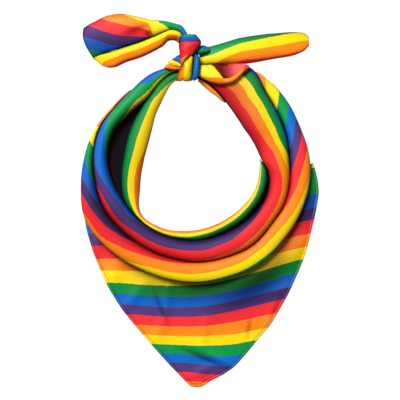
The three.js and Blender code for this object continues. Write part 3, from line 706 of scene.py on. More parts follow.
@dataclass(frozen=True)
class SatinFinish:
    """Printed polyester satin: smooth long floats of thread that give a soft, broad sheen.

    The print soaks through palely, so the wrong side shows the same stripes washed out. Tucked cloth gets
    painted shade: its colour is painted darker and deeper, as light bounced between the folds would turn it.
    """

    name: str = "printed_polyester_satin"
    fade: float = 0.0
    roughness: float = 0.48
    gloss: float = 0.2
    tucked_roughness: float = 0.9
    painted_shade_saturation: float = 0.6
    painted_shade_dimming: float = 0.98
    thread_pitch: float = 0.55 * MM
    bleed: float = 0.035

    def build(self) -> bpy.types.Material:
        """Builds the material, which reads the piece's own UV map: u along the cloth, v in stripes."""
        material = bpy.data.materials.new(self.name)
        material.use_nodes = True
        tree = material.node_tree
        tree.nodes.clear()
        uv = add_node(tree, "ShaderNodeUVMap", {"uv_map": "cloth"})
        split = add_node(tree, "ShaderNodeSeparateXYZ", None, Vector=uv.outputs["UV"])
        fray = add_node(
            tree, "ShaderNodeTexNoise", {"noise_dimensions": "2D"}, Vector=uv.outputs["UV"], Scale=420.0,
            Detail=2.0,
        )
        wander = add_node(
            tree, "ShaderNodeMath", {"operation": "MULTIPLY_ADD"},
            in_0=fray.outputs["Fac"], in_1=self.bleed * STRIPE * 2, in_2=split.outputs["Y"],
        )
        stripes = add_node(
            tree, "ShaderNodeMath", {"operation": "DIVIDE"}, in_0=wander.outputs[0],
            in_1=STRIPE * len(SatinColour),
        )
        repeat = add_node(tree, "ShaderNodeMath", {"operation": "FRACT"}, in_0=stripes.outputs[0])
        ramp = add_node(tree, "ShaderNodeValToRGB", None, Fac=repeat.outputs[0])
        self._fill_ramp(ramp.color_ramp)
        # Painted shade: the cloth's fold shade attribute darkens the print, deepens its colour and dulls its
        # gloss
        tucked = add_node(tree, "ShaderNodeAttribute", {"attribute_name": "painted_fold_shade"})
        power, painted_light_share, roughness = (
            add_node(
                tree, "ShaderNodeMapRange", None, Value=tucked.outputs["Fac"], To_Min=in_open, To_Max=in_fold,
            ).outputs["Result"]
            for in_open, in_fold in (
                (1.0, 1 + self.painted_shade_saturation), (1.0, 1 - self.painted_shade_dimming),
                (self.roughness, self.tucked_roughness),
            )
        )
        deepened = add_node(tree, "ShaderNodeGamma", None, Color=ramp.outputs["Color"], Gamma=power)
        streaked_and_shaded = self._shade_threads(tree, uv, deepened.outputs["Color"], painted_light_share)
        shader = add_node(
            tree, "ShaderNodeBsdfPrincipled", None, Base_Color=streaked_and_shaded, Roughness=roughness, IOR=1.5,
            Specular_IOR_Level=self.gloss, Normal=self._weave(tree, uv),
        )
        add_node(tree, "ShaderNodeOutputMaterial", None, Surface=shader.outputs["BSDF"])
        return material

    def _fill_ramp(self, ramp: bpy.types.ColorRamp) -> None:
        """Fills a ramp with the six stripes, each with a hard edge."""
        ramp.interpolation = "CONSTANT"
        colours = [colour.value for colour in SatinColour]
        while len(ramp.elements) < len(colours):
            ramp.elements.new(1.0)
        for index, colour in enumerate(colours):
            ramp.elements[index].position = index / len(colours)
            ramp.elements[index].color = linear(colour, self.fade)

    def _shade_threads(
        self, tree: bpy.types.NodeTree, uv: bpy.types.Node, colour: bpy.types.NodeSocket,
        painted_light_share: bpy.types.NodeSocket,
    ) -> bpy.types.NodeSocket:
        """Makes the print uneven from thread to thread, and paints the folds' shade into it.

        Args:
            tree: the material's tree.
            uv: node that gives the cloth's own coordinates.
            colour: the print's colour.
            painted_light_share: share of light painted in, 1 in the open and falling towards 0 deep in a
                fold.

        Returns:
            The uneven colour, with the painted shade.
        """
        stretch = add_node(
            tree, "ShaderNodeMapping", None, Vector=uv.outputs["UV"], Scale=(60.0, 1400.0, 1.0),
        )
        streak = add_node(
            tree, "ShaderNodeTexNoise", {"noise_dimensions": "2D"}, Vector=stretch.outputs["Vector"],
            Scale=1.0, Detail=3.0,
        )
        depth = add_node(
            tree, "ShaderNodeMapRange", None, Value=streak.outputs["Fac"], From_Min=0.3, From_Max=0.7,
            To_Min=0.93, To_Max=1.05,
        )
        # Thread streaks, times the painted shade
        both = add_node(
            tree, "ShaderNodeMath", {"operation": "MULTIPLY"}, in_0=depth.outputs["Result"], in_1=painted_light_share,
        )
        shade = add_node(
            tree, "ShaderNodeVectorMath", {"operation": "SCALE"}, Vector=colour, Scale=both.outputs[0],
        )
        return shade.outputs["Vector"]

    def _weave(self, tree: bpy.types.NodeTree, uv: bpy.types.Node) -> bpy.types.NodeSocket:
        """Satin's long floats, drawn about four times as coarse as real so that they show.

        Args:
            tree: the material's tree.
            uv: node that gives the cloth's own coordinates.

        Returns:
            The bumped normal.
        """
        ribs = add_node(
            tree, "ShaderNodeTexWave", {"bands_direction": "DIAGONAL"}, Vector=uv.outputs["UV"],
            Scale=1 / (self.thread_pitch * WAVE_TURN), Distortion=1.2, Detail=1.0,
        )
        soft = add_node(
            tree, "ShaderNodeTexNoise", {"noise_dimensions": "2D"}, Vector=uv.outputs["UV"], Scale=140.0,
            Detail=3.0,
        )
        mixed = add_node(
            tree, "ShaderNodeMath", {"operation": "MULTIPLY_ADD"},
            in_0=ribs.outputs["Fac"], in_1=0.16, in_2=soft.outputs["Fac"],
        )
        bump = add_node(
            tree, "ShaderNodeBump", None, Height=mixed.outputs[0], Strength=0.16, Distance=0.5 * MM,
        )
        return bump.outputs["Normal"]


@dataclass(frozen=True)
class ThreadFinish:
    """Spun polyester sewing thread: matt, a little fuzzy, in a dark colour that shows on every stripe."""

    name: str = "sewing_thread"
    colour: str = "6A4A3A"
    roughness: float = 0.75
    twist: float = 0.5 * MM

    def build(self) -> bpy.types.Material:
        """Builds the material with the thread's twist as bump."""
        material = bpy.data.materials.new(self.name)
        material.use_nodes = True
        tree = material.node_tree
        tree.nodes.clear()
        place = add_node(tree, "ShaderNodeTexCoord")
        twist = add_node(
            tree, "ShaderNodeTexWave", {"bands_direction": "DIAGONAL"}, Vector=place.outputs["Object"],
            Scale=1 / (self.twist * WAVE_TURN), Distortion=0.5,
        )
        tint = add_node(
            tree, "ShaderNodeMix", {"data_type": "RGBA"}, Factor=twist.outputs["Fac"],
            in_6=linear(self.colour), in_7=linear(self.colour, 0.2),
        )
        bump = add_node(
            tree, "ShaderNodeBump", None, Height=twist.outputs["Fac"], Strength=0.5, Distance=0.1 * MM,
        )
        shader = add_node(
            tree, "ShaderNodeBsdfPrincipled", None, Base_Color=tint.outputs[2], Roughness=self.roughness,
            Normal=bump.outputs["Normal"],
        )
        add_node(tree, "ShaderNodeOutputMaterial", None, Surface=shader.outputs["BSDF"])
        return material


@dataclass(frozen=True)
class TableFinish:
    """White acrylic board lit faintly from below, as under a packshot, for the floor under the cloth."""

    name: str = "white_board"
    colour: str = "3C3C3C"
    glow: float = 0.98

    def build(self) -> bpy.types.Material:
        """Builds the floor's material."""
        material = bpy.data.materials.new(self.name)
        material.use_nodes = True
        shader = material.node_tree.nodes["Principled BSDF"]
        shader.inputs["Base Color"].default_value = linear(self.colour)
        shader.inputs["Roughness"].default_value = 0.9
        shader.inputs["Emission Color"].default_value = linear("FFFFFF")
        shader.inputs["Emission Strength"].default_value = self.glow
        return material


def column(rows: Sequence[NamedTuple], name: str, places: np.ndarray) -> np.ndarray:
    """Smooth values of one column of a table at places along its first column.

    Args:
        rows: the table, sorted by `at`.
        name: the column.
        places: where to read it.

    Returns:
        One value for each place.
    """
    at = np.array([row.at for row in rows], float)
    value = np.array([getattr(row, name) for row in rows], float)
    where = np.clip(places, at[0], at[-1])
    index = np.clip(np.searchsorted(at, where, side="right") - 1, 0, len(rows) - 2)
    before, after = np.maximum(index - 1, 0), np.minimum(index + 2, len(rows) - 1)
    span = at[index + 1] - at[index]
    share = (where - at[index]) / span
    slope_from = (value[index + 1] - value[before]) / (at[index + 1] - at[before]) * span
    slope_to = (value[after] - value[index]) / (at[after] - at[index]) * span
    square, cube = share ** 2, share ** 3
    return (
        (2 * cube - 3 * square + 1) * value[index] + (cube - 2 * square + share) * slope_from
        + (3 * square - 2 * cube) * value[index + 1] + (cube - square) * slope_to
    )


def columns(rows: Sequence[NamedTuple], places: np.ndarray) -> dict[str, np.ndarray]:
    """Smooth values of every column after `at`, by name, at places along the first column."""
    return {name: column(rows, name, places) for name in rows[0]._fields[1:]}


def straight(table: Sequence[tuple[float, float]], places: np.ndarray) -> np.ndarray:
    """Values of a table of pairs at places along its first column, joined by straight lines."""
    at, values = zip(*table)
    return np.interp(places, at, values)


def plan_line(root: np.ndarray, x: np.ndarray, y: np.ndarray) -> np.ndarray:
    """Plan points at distances to the right of and above a root."""
    return root + np.stack([x, y], axis=1)


def polar(at: np.ndarray, radius: np.ndarray) -> np.ndarray:
    """Plan points at directions and distances from the opening's centre."""
    angle = np.radians(at)
    return np.stack([-radius * np.sin(angle), radius * np.cos(angle)], axis=-1) + CENTRE


def running_length(points: np.ndarray) -> np.ndarray:
    """Length along a line of points, from its first point."""
    steps = np.linalg.norm(np.diff(points, axis=0), axis=-1)
    return np.concatenate([[0.0], np.cumsum(steps)])


def ruffle(along: np.ndarray, across: np.ndarray, seed: float) -> np.ndarray:
    """Smooth noise in two directions, from -1 to 1.

    Args:
        along: first coordinate of each point, in wavelengths.
        across: second coordinate.
        seed: shifts the pattern.

    Returns:
        One value for each point.
    """
    flat = np.broadcast_arrays(along, across)
    values = [noise.noise(Vector((a, b, seed))) for a, b in zip(flat[0].ravel(), flat[1].ravel())]
    return np.array(values).reshape(flat[0].shape)


@dataclass
class ClothSheet:
    """A grid of points on the right side of the cloth, with its stripe numbers and its painted shade."""

    name: str
    points: np.ndarray
    stripes: np.ndarray
    shade: np.ndarray
    thickness: float = CLOTH

    def __post_init__(self) -> None:
        """Turns the grid round where its right side would face down."""
        crown = self.points.shape[1] // 2
        if np.mean(self.normals()[:, crown, 2]) < 0:
            self.points = self.points[:, ::-1]
            self.stripes = self.stripes[:, ::-1]
            self.shade = self.shade[:, ::-1]

    def normals(self) -> np.ndarray:
        """Unit normals of the grid, pointing to the right side."""
        along = np.gradient(self.points, axis=0)
        across = np.gradient(self.points, axis=1)
        cross = np.cross(across, along)
        length = np.linalg.norm(cross, axis=-1, keepdims=True)
        return cross / np.maximum(length, 1e-12)

    def pushed(self, depth: np.ndarray) -> "ClothSheet":
        """The sheet with each point moved along its normal."""
        moved = self.points + self.normals() * depth[..., None]
        moved[..., 2] = np.maximum(moved[..., 2], LEAST_LEVEL)
        return ClothSheet(self.name, moved, self.stripes, self.shade, self.thickness)

    def build(self, right_side: bpy.types.Material, wrong_side: bpy.types.Material) -> bpy.types.Object:
        """Makes the closed wall: right side, wrong side and the cut edges between them.

        Args:
            right_side: material of the printed face.
            wrong_side: material of the pale back.

        Returns:
            The new object, at the origin.
        """
        rows, columns = self.points.shape[:2]
        top = self.points.reshape(-1, 3)
        bottom = (self.points - self.normals() * self.thickness).reshape(-1, 3)
        index = np.arange(rows * columns).reshape(rows, columns)
        a, b = index[:-1, :-1].ravel(), index[:-1, 1:].ravel()
        c, d = index[1:, 1:].ravel(), index[1:, :-1].ravel()
        under = rows * columns
        right = np.stack([a, b, c, d], axis=1)
        wrong = np.stack([d, c, b, a], axis=1) + under
        ring = np.concatenate([index[0, :], index[1:, -1], index[-1, -2::-1], index[-2:0:-1, 0]])
        following = np.roll(ring, -1)
        rim = np.stack([following, ring, ring + under, following + under], axis=1)
        faces = np.concatenate([right, wrong, rim])
        mesh = bpy.data.meshes.new(self.name)
        mesh.from_pydata(np.concatenate([top, bottom]).tolist(), [], faces.tolist())
        along = np.stack([running_length(self.points[:, place]) for place in range(columns)], axis=1)
        layer = mesh.uv_layers.new(name="cloth")
        corners = np.empty(len(mesh.loops), dtype=np.int32)
        mesh.loops.foreach_get("vertex_index", corners)
        cloth = np.stack([along.ravel(), self.stripes.ravel() * STRIPE], axis=1)
        layer.uv.foreach_set("vector", cloth[corners % under].astype(np.float32).ravel())
        # The painted shade goes to the material as the depth of shade at each point
        depth = mesh.attributes.new("painted_fold_shade", "FLOAT", "POINT")
        depth.data.foreach_set("value", np.tile(1 - self.shade.ravel(), 2).astype(np.float32))
        mesh.materials.append(right_side)
        mesh.materials.append(wrong_side)
        slots = np.zeros(len(faces), dtype=np.int32)
        slots[len(right):len(right) + len(wrong)] = 1
        mesh.polygons.foreach_set("material_index", slots)
        mesh.polygons.foreach_set("use_smooth", slots >= 0)
        mesh.validate()
        mesh.update()
        piece = bpy.data.objects.new(self.name, mesh)
        bpy.context.collection.objects.link(piece)
        return piece


@dataclass
class Roll:
    """A roll of cloth, empty inside, between two edges in plan, open below at a slit.

    Attributes:
        name: name of the sheet that it makes.
        near, far: plan points of its edges.
        base, height: level of its underside and its height above it.
        near_stripe, far_stripe: stripe numbers at its edges.
        lean: how far its crown leans to the near side (negative) or the far side, from -1 to 1.
        flatness: 1 for an ellipse, under 1 for a boxier section.
        slit: width of the opening left below.
        near_shade, far_shade: painted shade, how light the cloth stays where it is tucked in at its edges,
            from 0 to 1.
        near_reach, far_reach: share of the section that the painted shade at its edge reaches over.
        swell: how far the stripe number halfway lies above the even one.
    """

    name: str
    near: np.ndarray
    far: np.ndarray
    base: np.ndarray
    height: np.ndarray
    near_stripe: np.ndarray
    far_stripe: np.ndarray
    lean: float = 0.0
    flatness: float = 1.0
    slit: float = SOLE_SLIT
    near_shade: float | np.ndarray = 0.6
    far_shade: float | np.ndarray = 0.6
    near_reach: float | np.ndarray = 0.17
    far_reach: float | np.ndarray = 0.17
    swell: float | np.ndarray = 0.0
    across: int = 56

    def sheet(self) -> ClothSheet:
        """The roll's right side as a grid, with the stripes spread evenly along its section and painted shade
        at its edges.
        """
        middle = (self.near + self.far) / 2
        gap = self.far - self.near
        half_width = np.linalg.norm(gap, axis=1) / 2
        direction = gap / (2 * half_width[:, None])
        turn = np.arccos(np.minimum(self.slit / 2 / half_width, 0.7))
        half_height = self.height / (1 + np.sin(turn))
        share = np.linspace(0, 1, self.across)[None, :]
        angle = -turn[:, None] + (math.pi + 2 * turn[:, None]) * share
        cosine, sine = np.cos(angle), np.sin(angle)
        boxy = np.sign(cosine) * np.abs(cosine) ** self.flatness
        out = half_width[:, None] * (-boxy + self.lean * (1 - np.abs(boxy)) * np.clip(sine, 0, 1))
        up = (self.base + self.height - half_height)[:, None] + half_height[:, None] * sine
        plan = middle[:, None, :] + direction[:, None, :] * out[..., None]
        points = np.concatenate([plan, up[..., None]], axis=2)
        # Painted shade: darker where the cloth is tucked in at both edges, and along both turned edges
        near = self._tucked(angle / math.pi, self.near_shade, self.near_reach)
        far = self._tucked(1 - angle / math.pi, self.far_shade, self.far_reach)
        shade = near * far
        for turned in (angle, math.pi - angle):
            shade = shade * self._tucked(turned / math.pi, EDGE_SHADE, EDGE_REACH)
        return ClothSheet(self.name, points, self._stripes(points, angle), shade)

    def _stripes(self, points: np.ndarray, angle: np.ndarray) -> np.ndarray:
        """Stripe numbers along every section, also where it turns under.

        The print spreads mostly by its place in plan, because a soft fold is flatter on top than a roll.
        """
        steps = np.diff(points, axis=1)
        flat, whole = np.linalg.norm(steps[..., :2], axis=2), np.linalg.norm(steps, axis=2)
        travel = PLAN_SHARE * flat + (1 - PLAN_SHARE) * whole
        length = np.concatenate([np.zeros((len(points), 1)), np.cumsum(travel, axis=1)], axis=1)
        swell = np.broadcast_to(np.asarray(self.swell, float), (len(points),))
        numbers = []
        for row, turned, first, last, more in zip(length, angle, self.near_stripe, self.far_stripe, swell):
            start, end = np.interp([0.0, math.pi], turned, row)
            share = (row - start) / (end - start)
            numbers.append(first + share * (last - first) + more * np.clip(1 - np.abs(2 * share - 1), 0, 1))
        return np.array(numbers)

    @staticmethod
    def _tucked(share: np.ndarray, least: float | np.ndarray, reach: float | np.ndarray) -> np.ndarray:
        """Painted shade: how light the cloth is painted at a share of the section from an edge that is tucked
        in.
        """
        edge = np.broadcast_to(np.asarray(least, float), (len(share),))[:, None]
        width = np.broadcast_to(np.asarray(reach, float), (len(share),))[:, None]
        return 1 - (1 - edge) * np.exp(-(np.maximum(share, 0) / width) ** 1.6)


@dataclass
class Band:
    """The folded band round the neck opening.

    Attributes:
        satin, reverse: materials of the cloth's printed face and of its back.
        steps_per_degree: how closely a fold's sections follow each other.
        flutter, flutter_wave: depth and length of a fold's soft creases.
        ripple, ripple_wave: depth and length of the finer ones.
        crease_breadth: how far apart creases lie across a fold.
        gap, outer_base: how far the outer fold lies beyond and above the middle one's underside.
        strip_columns: columns of points across a strip between two folds.
    """

    satin: bpy.types.Material
    reverse: bpy.types.Material
    steps_per_degree: float = 0.8
    flutter: float = 0.55 * MM
    flutter_wave: float = 46 * MM
    ripple: float = 0.22 * MM
    ripple_wave: float = 14 * MM
    crease_breadth: float = 9 * MM
    gap: float = 0.3 * MM
    outer_base: float = 1.8 * MM
    strip_columns: int = 20

    def edges(self, at: np.ndarray) -> dict[str, np.ndarray]:
        """Distances of every fold's edges from the opening's centre, by direction."""
        inner_edge = OPENING_RADIUS * column(BAND, "edge", at)
        inner_limit = inner_edge + INNER_WIDTH * np.maximum(column(BAND, "inner", at), 0)
        middle_edge = inner_limit + VALLEY_WIDTH * np.maximum(column(BAND, "valley", at), 0)
        middle_limit = middle_edge + MIDDLE_WIDTH * column(BAND, "middle", at)
        outer_limit = middle_limit + OUTER_WIDTH * np.maximum(column(BAND, "outer", at), 0)
        return {
            "inner_edge": inner_edge, "inner_limit": inner_limit, "middle_edge": middle_edge,
            "middle_limit": middle_limit, "outer_limit": outer_limit,
        }

    @staticmethod
    def stripes(rows: Sequence[PrintRow], at: np.ndarray) -> tuple[np.ndarray, np.ndarray, np.ndarray]:
        """Stripe numbers at a fold's inner and outer edge and their swell, from its print table."""
        return column(rows, "near", at), column(rows, "far", at), column(rows, "swell", at)

    def directions(self, span: Span) -> np.ndarray:
        """Directions of a fold's sections."""
        count = int((span.last - span.first) * self.steps_per_degree) + 1
        return np.linspace(span.first, span.last, count)

    def fold(
        self, name: str, at: np.ndarray, near: np.ndarray, far: np.ndarray, base: float, rise: str,
        stripes: tuple[np.ndarray, np.ndarray, np.ndarray], seed: float,
        shades: tuple[float | np.ndarray, float | np.ndarray] = (0.5, 0.5),
        reaches: tuple[float | np.ndarray, float | np.ndarray] = (0.17, 0.17),
    ) -> ClothSheet:
        """One fold of the band as a roll with soft creases along it.

        Args:
            name: the sheet's name.
            at: directions of its sections.
            near: distance of its inner edge at each direction.
            far: distance of its outer edge.
            base: level of its underside.
            rise: the table's column for its height.
            stripes: stripe numbers at the inner and the outer edge, and their swell.
            seed: shifts its creases.
            shades: how light the cloth stays at its inner and its outer edge.
            reaches: share of the section that the shade at each edge reaches over.

        Returns:
            The creased sheet.
        """
        height = FOLD_HEIGHT * column(BAND, rise, at)
        roll = Roll(
            name, polar(at, near), polar(at, far), np.full(len(at), base),
            np.minimum(height, 2.4 * (far - near)), stripes[0], stripes[1], flatness=0.9,
            near_shade=shades[0], far_shade=shades[1], near_reach=reaches[0], far_reach=reaches[1],
            swell=stripes[2],
        )
        sheet = roll.sheet()
        width = np.linspace(0, 1, roll.across)[None, :] * (far - near)[:, None] / self.crease_breadth
        travel = np.radians(at)[:, None] * OPENING_RADIUS
        near_knot = 1 + 0.5 * np.exp(-((np.minimum(at, 360 - at) / 32) ** 2))[:, None]
        depth = self.flutter * near_knot * ruffle(travel / self.flutter_wave, width, seed)
        depth += self.ripple * ruffle(travel / self.ripple_wave, width * 1.7, seed + 5)
        return sheet.pushed(depth)

    def dress(self, sheet: ClothSheet, *nodes: str) -> bpy.types.Object:
        return dress_sheet(sheet, self.satin, self.reverse, "folded", *nodes)

    def build(self) -> None:
        """Builds the three folds, the right end of the inner one and the cloth deep between them."""
        self._build_inner()
        creases = self._build_creases()
        at = self.directions(MIDDLE_SPAN)
        edge = self.edges(at)
        # The folds are painted darker at their edges as shade
        shades = (straight(MIDDLE_NEAR_SHADE, at), straight(MIDDLE_FAR_SHADE, at))
        reaches = (straight(MIDDLE_NEAR_REACH, at), straight(MIDDLE_FAR_REACH, at))
        middle = self.fold(
            "middle_fold_cloth", at, edge["middle_edge"], edge["middle_limit"], 0.0, "middle_rise",
            self.stripes(MIDDLE_PRINT, at), seed=11.0, shades=shades, reaches=reaches,
        )
        dress_sheet(middle, self.satin, self.reverse, "folded", "middle_fold", with_pieces=creases)
        at = self.directions(OUTER_SPAN)
        edge = self.edges(at)
        ends = np.minimum(1, np.minimum(at - OUTER_SPAN.first, OUTER_SPAN.last - at) / 12) ** 0.5
        near = edge["middle_limit"] + self.gap
        width = np.maximum(edge["outer_limit"] - near, NARROWEST * 0.6) * (0.3 + 0.7 * ends)
        outer = self.fold(
            "outer_fold_cloth", at, near, near + width, self.outer_base, "outer_rise",
            self.stripes(OUTER_PRINT, at), seed=23.0, shades=(0.06, 0.6),
            reaches=(straight(OUTER_NEAR_REACH, at), 0.17),
        )
        self.dress(outer, "outer_fold")

    def _build_inner(self) -> None:
        """Builds the innermost fold and its short right end."""
        at = self.directions(INNER_SPAN)
        edge = self.edges(at)
        far = np.maximum(edge["inner_limit"], edge["inner_edge"] + MM * straight(INNER_END_WIDTHS, at))
        # Painted shade on the inner fold's inner side, wider where its yellow is shaded to gold, and dark at
        # its outer edge
        golden_shade = straight(INNER_GOLDEN_SHADE, at)
        inner = self.fold(
            "inner_fold_cloth", at, edge["inner_edge"], far, 0.0, "inner_rise", self.stripes(INNER_PRINT, at),
            seed=3.0, shades=(0.75 - 0.15 * golden_shade, 0.04),
            reaches=(0.2 + 0.4 * golden_shade, straight(INNER_FAR_REACH, at)),
        )
        self.dress(inner, "inner_fold", "inner_fold_upper")
        at = self.directions(INNER_RIGHT_SPAN)
        edge = self.edges(at)
        stripes = tuple(np.full(len(at), number) for number in (*INNER_RIGHT_STRIPES, 0.0))
        right = self.fold(
            "inner_fold_right_cloth", at, edge["middle_edge"] - MM * straight(RIGHT_END_WIDTHS, at),
            edge["middle_edge"] - 0.1 * MM, 0.0, "inner_rise", stripes, seed=7.0, shades=(0.8, 0.1),
            reaches=(0.17, 0.3),
        )
        self.dress(right, "inner_fold_right")

    def _build_creases(self) -> tuple[bpy.types.Object, ...]:
        """Builds the cloth that lies deep between neighbouring folds, painted almost black as shade."""
        valley = ("inner_limit", "middle_edge")
        crease = ("middle_limit", "middle_limit")
        right_crease = ("middle_edge", "middle_edge")
        return (
            self._crease("valley_cloth", VALLEY_SPAN, valley, VALLEY_STRIPES, 1.9 * MM, "valley_fold"),
            self._crease("lower_valley_cloth", LOWER_VALLEY_SPAN, valley, LOWER_VALLEY_STRIPES, 2 * MM),
            self._crease("crease_cloth", CREASE_SPAN, crease, CREASE_STRIPES, 3.6 * MM),
            self._crease(
                "right_crease_cloth", RIGHT_CREASE_SPAN, right_crease, RIGHT_CREASE_STRIPES, 1.6 * MM,
            ),
        )

    def _crease(
        self, name: str, span: Span, edges: tuple[str, str], numbers: tuple[float, float], level: float,
        *nodes: str,
    ) -> bpy.types.Object:
        """Builds one strip of cloth deep between two folds, painted almost black as shade.

        Args:
            name: the piece's name.
            span: its directions.
            edges: names of the folds' edges that it joins.
            numbers: stripe numbers at its two edges.
            level: its height above the table.
            *nodes: CAD nodes that it stands for.

        Returns:
            The strip's piece.
        """
        start, end = edges
        at = self.directions(span)
        edge = self.edges(at)
        share = np.linspace(0, 1, self.strip_columns)[None, :]
        limits = {"inner_limit": edge["inner_edge"] + 0.6 * MM, "middle_edge": edge["middle_edge"] - MM}
        inside = np.maximum(edge[start] - CREASE_OVERLAP, limits.get(start, 0.0))
        width = np.maximum(edge[end], edge[start]) + CREASE_OVERLAP - inside
        radius = inside[:, None] + width[:, None] * share
        plan = polar(np.broadcast_to(at[:, None], radius.shape), radius)
        high = level + 0.5 * MM * ruffle(radius / (5 * MM), at[:, None] / 14, 31.0)
        points = np.concatenate([plan, high[..., None]], axis=2)
        stripes = numbers[0] + (numbers[1] - numbers[0]) * np.broadcast_to(share, radius.shape)
        sheet = ClothSheet(name, points, stripes, np.full(radius.shape, DEEP_SHADE))
        return attach(sheet.build(self.satin, self.reverse), "satin", *nodes)


def attach(piece: bpy.types.Object, material_slot: str, *nodes: str) -> bpy.types.Object:
    """Attaches a piece to the body that it rides on and hides the nodes of the part that it stands for."""
    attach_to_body(piece, BODY)
    if nodes:
        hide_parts(*nodes)
    LOG.info("%s: %d faces", piece.name, len(piece.data.polygons))
    return piece


def dress_sheet(
    sheet: ClothSheet, right_side: bpy.types.Material, wrong_side: bpy.types.Material, held: str, *nodes: str,
    with_pieces: Sequence[bpy.types.Object] = (),
) -> bpy.types.Object:
    """Builds a sheet's piece and attaches it.

    Args:
        sheet: the cloth.
        right_side: material of its printed face.
        wrong_side: material of its back.
        held: how the cloth is held. Not used.
        *nodes: CAD nodes that it stands for.
        with_pieces: separate pieces sewn to it. Not used.

    Returns:
        The piece.
    """
    piece = attach(sheet.build(right_side, wrong_side), "satin", *nodes)
    return piece


def bib_stripe(plan: np.ndarray) -> np.ndarray:
    """Stripe numbers at plan points of the bib, between the lines of its table.

    Args:
        plan: points in the frame.

    Returns:
        One stripe number for each point.
    """
    local = (plan - CENTRE) / MM
    x, y = local[..., 0], local[..., 1]
    heights = []
    for line in BIB_LINES:
        share = (x - line.left_x) / (line.right_x - line.left_x)
        known = (0, line.sag_left, line.sag_middle, line.sag_right, 0)
        sag = np.mean([np.interp(share + step, SAG_PLACES, known) for step in SAG_WINDOW], axis=0)
        heights.append(line.left_y + (line.right_y - line.left_y) * np.clip(share, -0.3, 1.3) - sag)
    levels = np.stack(heights, axis=-1)
    numbers = np.array([line.number for line in BIB_LINES], float)
    flat_levels, flat_y = levels.reshape(-1, len(BIB_LINES)), y.ravel()
    found = [np.interp(place, np.maximum.accumulate(row), numbers) for place, row in zip(flat_y, flat_levels)]
    return np.array(found).reshape(y.shape)


def bump(local: np.ndarray, patch: DentOrShade) -> np.ndarray:
    """Soft bump of height 1 at the place of a ridge or of a patch of painted shade, fading along and across
    it.

    Args:
        local: points in mm from the opening's centre.
        patch: the ridge or the patch of painted shade, where it lies and how large it is.

    Returns:
        One value for each point.
    """
    turn = math.radians(patch.turn)
    dx, dy = local[..., 0] - patch.x, local[..., 1] - patch.y
    along = (dx * math.cos(turn) + dy * math.sin(turn)) / patch.length
    across = (-dx * math.sin(turn) + dy * math.cos(turn)) / patch.breadth
    return np.exp(-along ** 2 - across ** 2)


def bib_lift(plan: np.ndarray) -> np.ndarray:
    """Height of the bib's top above the table at plan points, with its soft ridges."""
    local = (plan - CENTRE) / MM
    lift = np.zeros(plan.shape[:-1])
    for patch in DENTS:
        lift += patch.rise * bump(local, patch)
    return BIB_RELIEF * lift + BIB_LIFT + CLOTH


def painted_shade_depth(plan: np.ndarray, shade_patches: Sequence[DentOrShade]) -> np.ndarray:
    """How much painted shade plan points of the cloth take from its patches of painted shade, from 0 to 1."""
    local = (plan - CENTRE) / MM
    painted_light_share = np.ones(plan.shape[:-1])
    for shade_patch in shade_patches:
        painted_light_share *= 1 - shade_patch.rise * bump(local, shade_patch)
    return 1 - painted_light_share


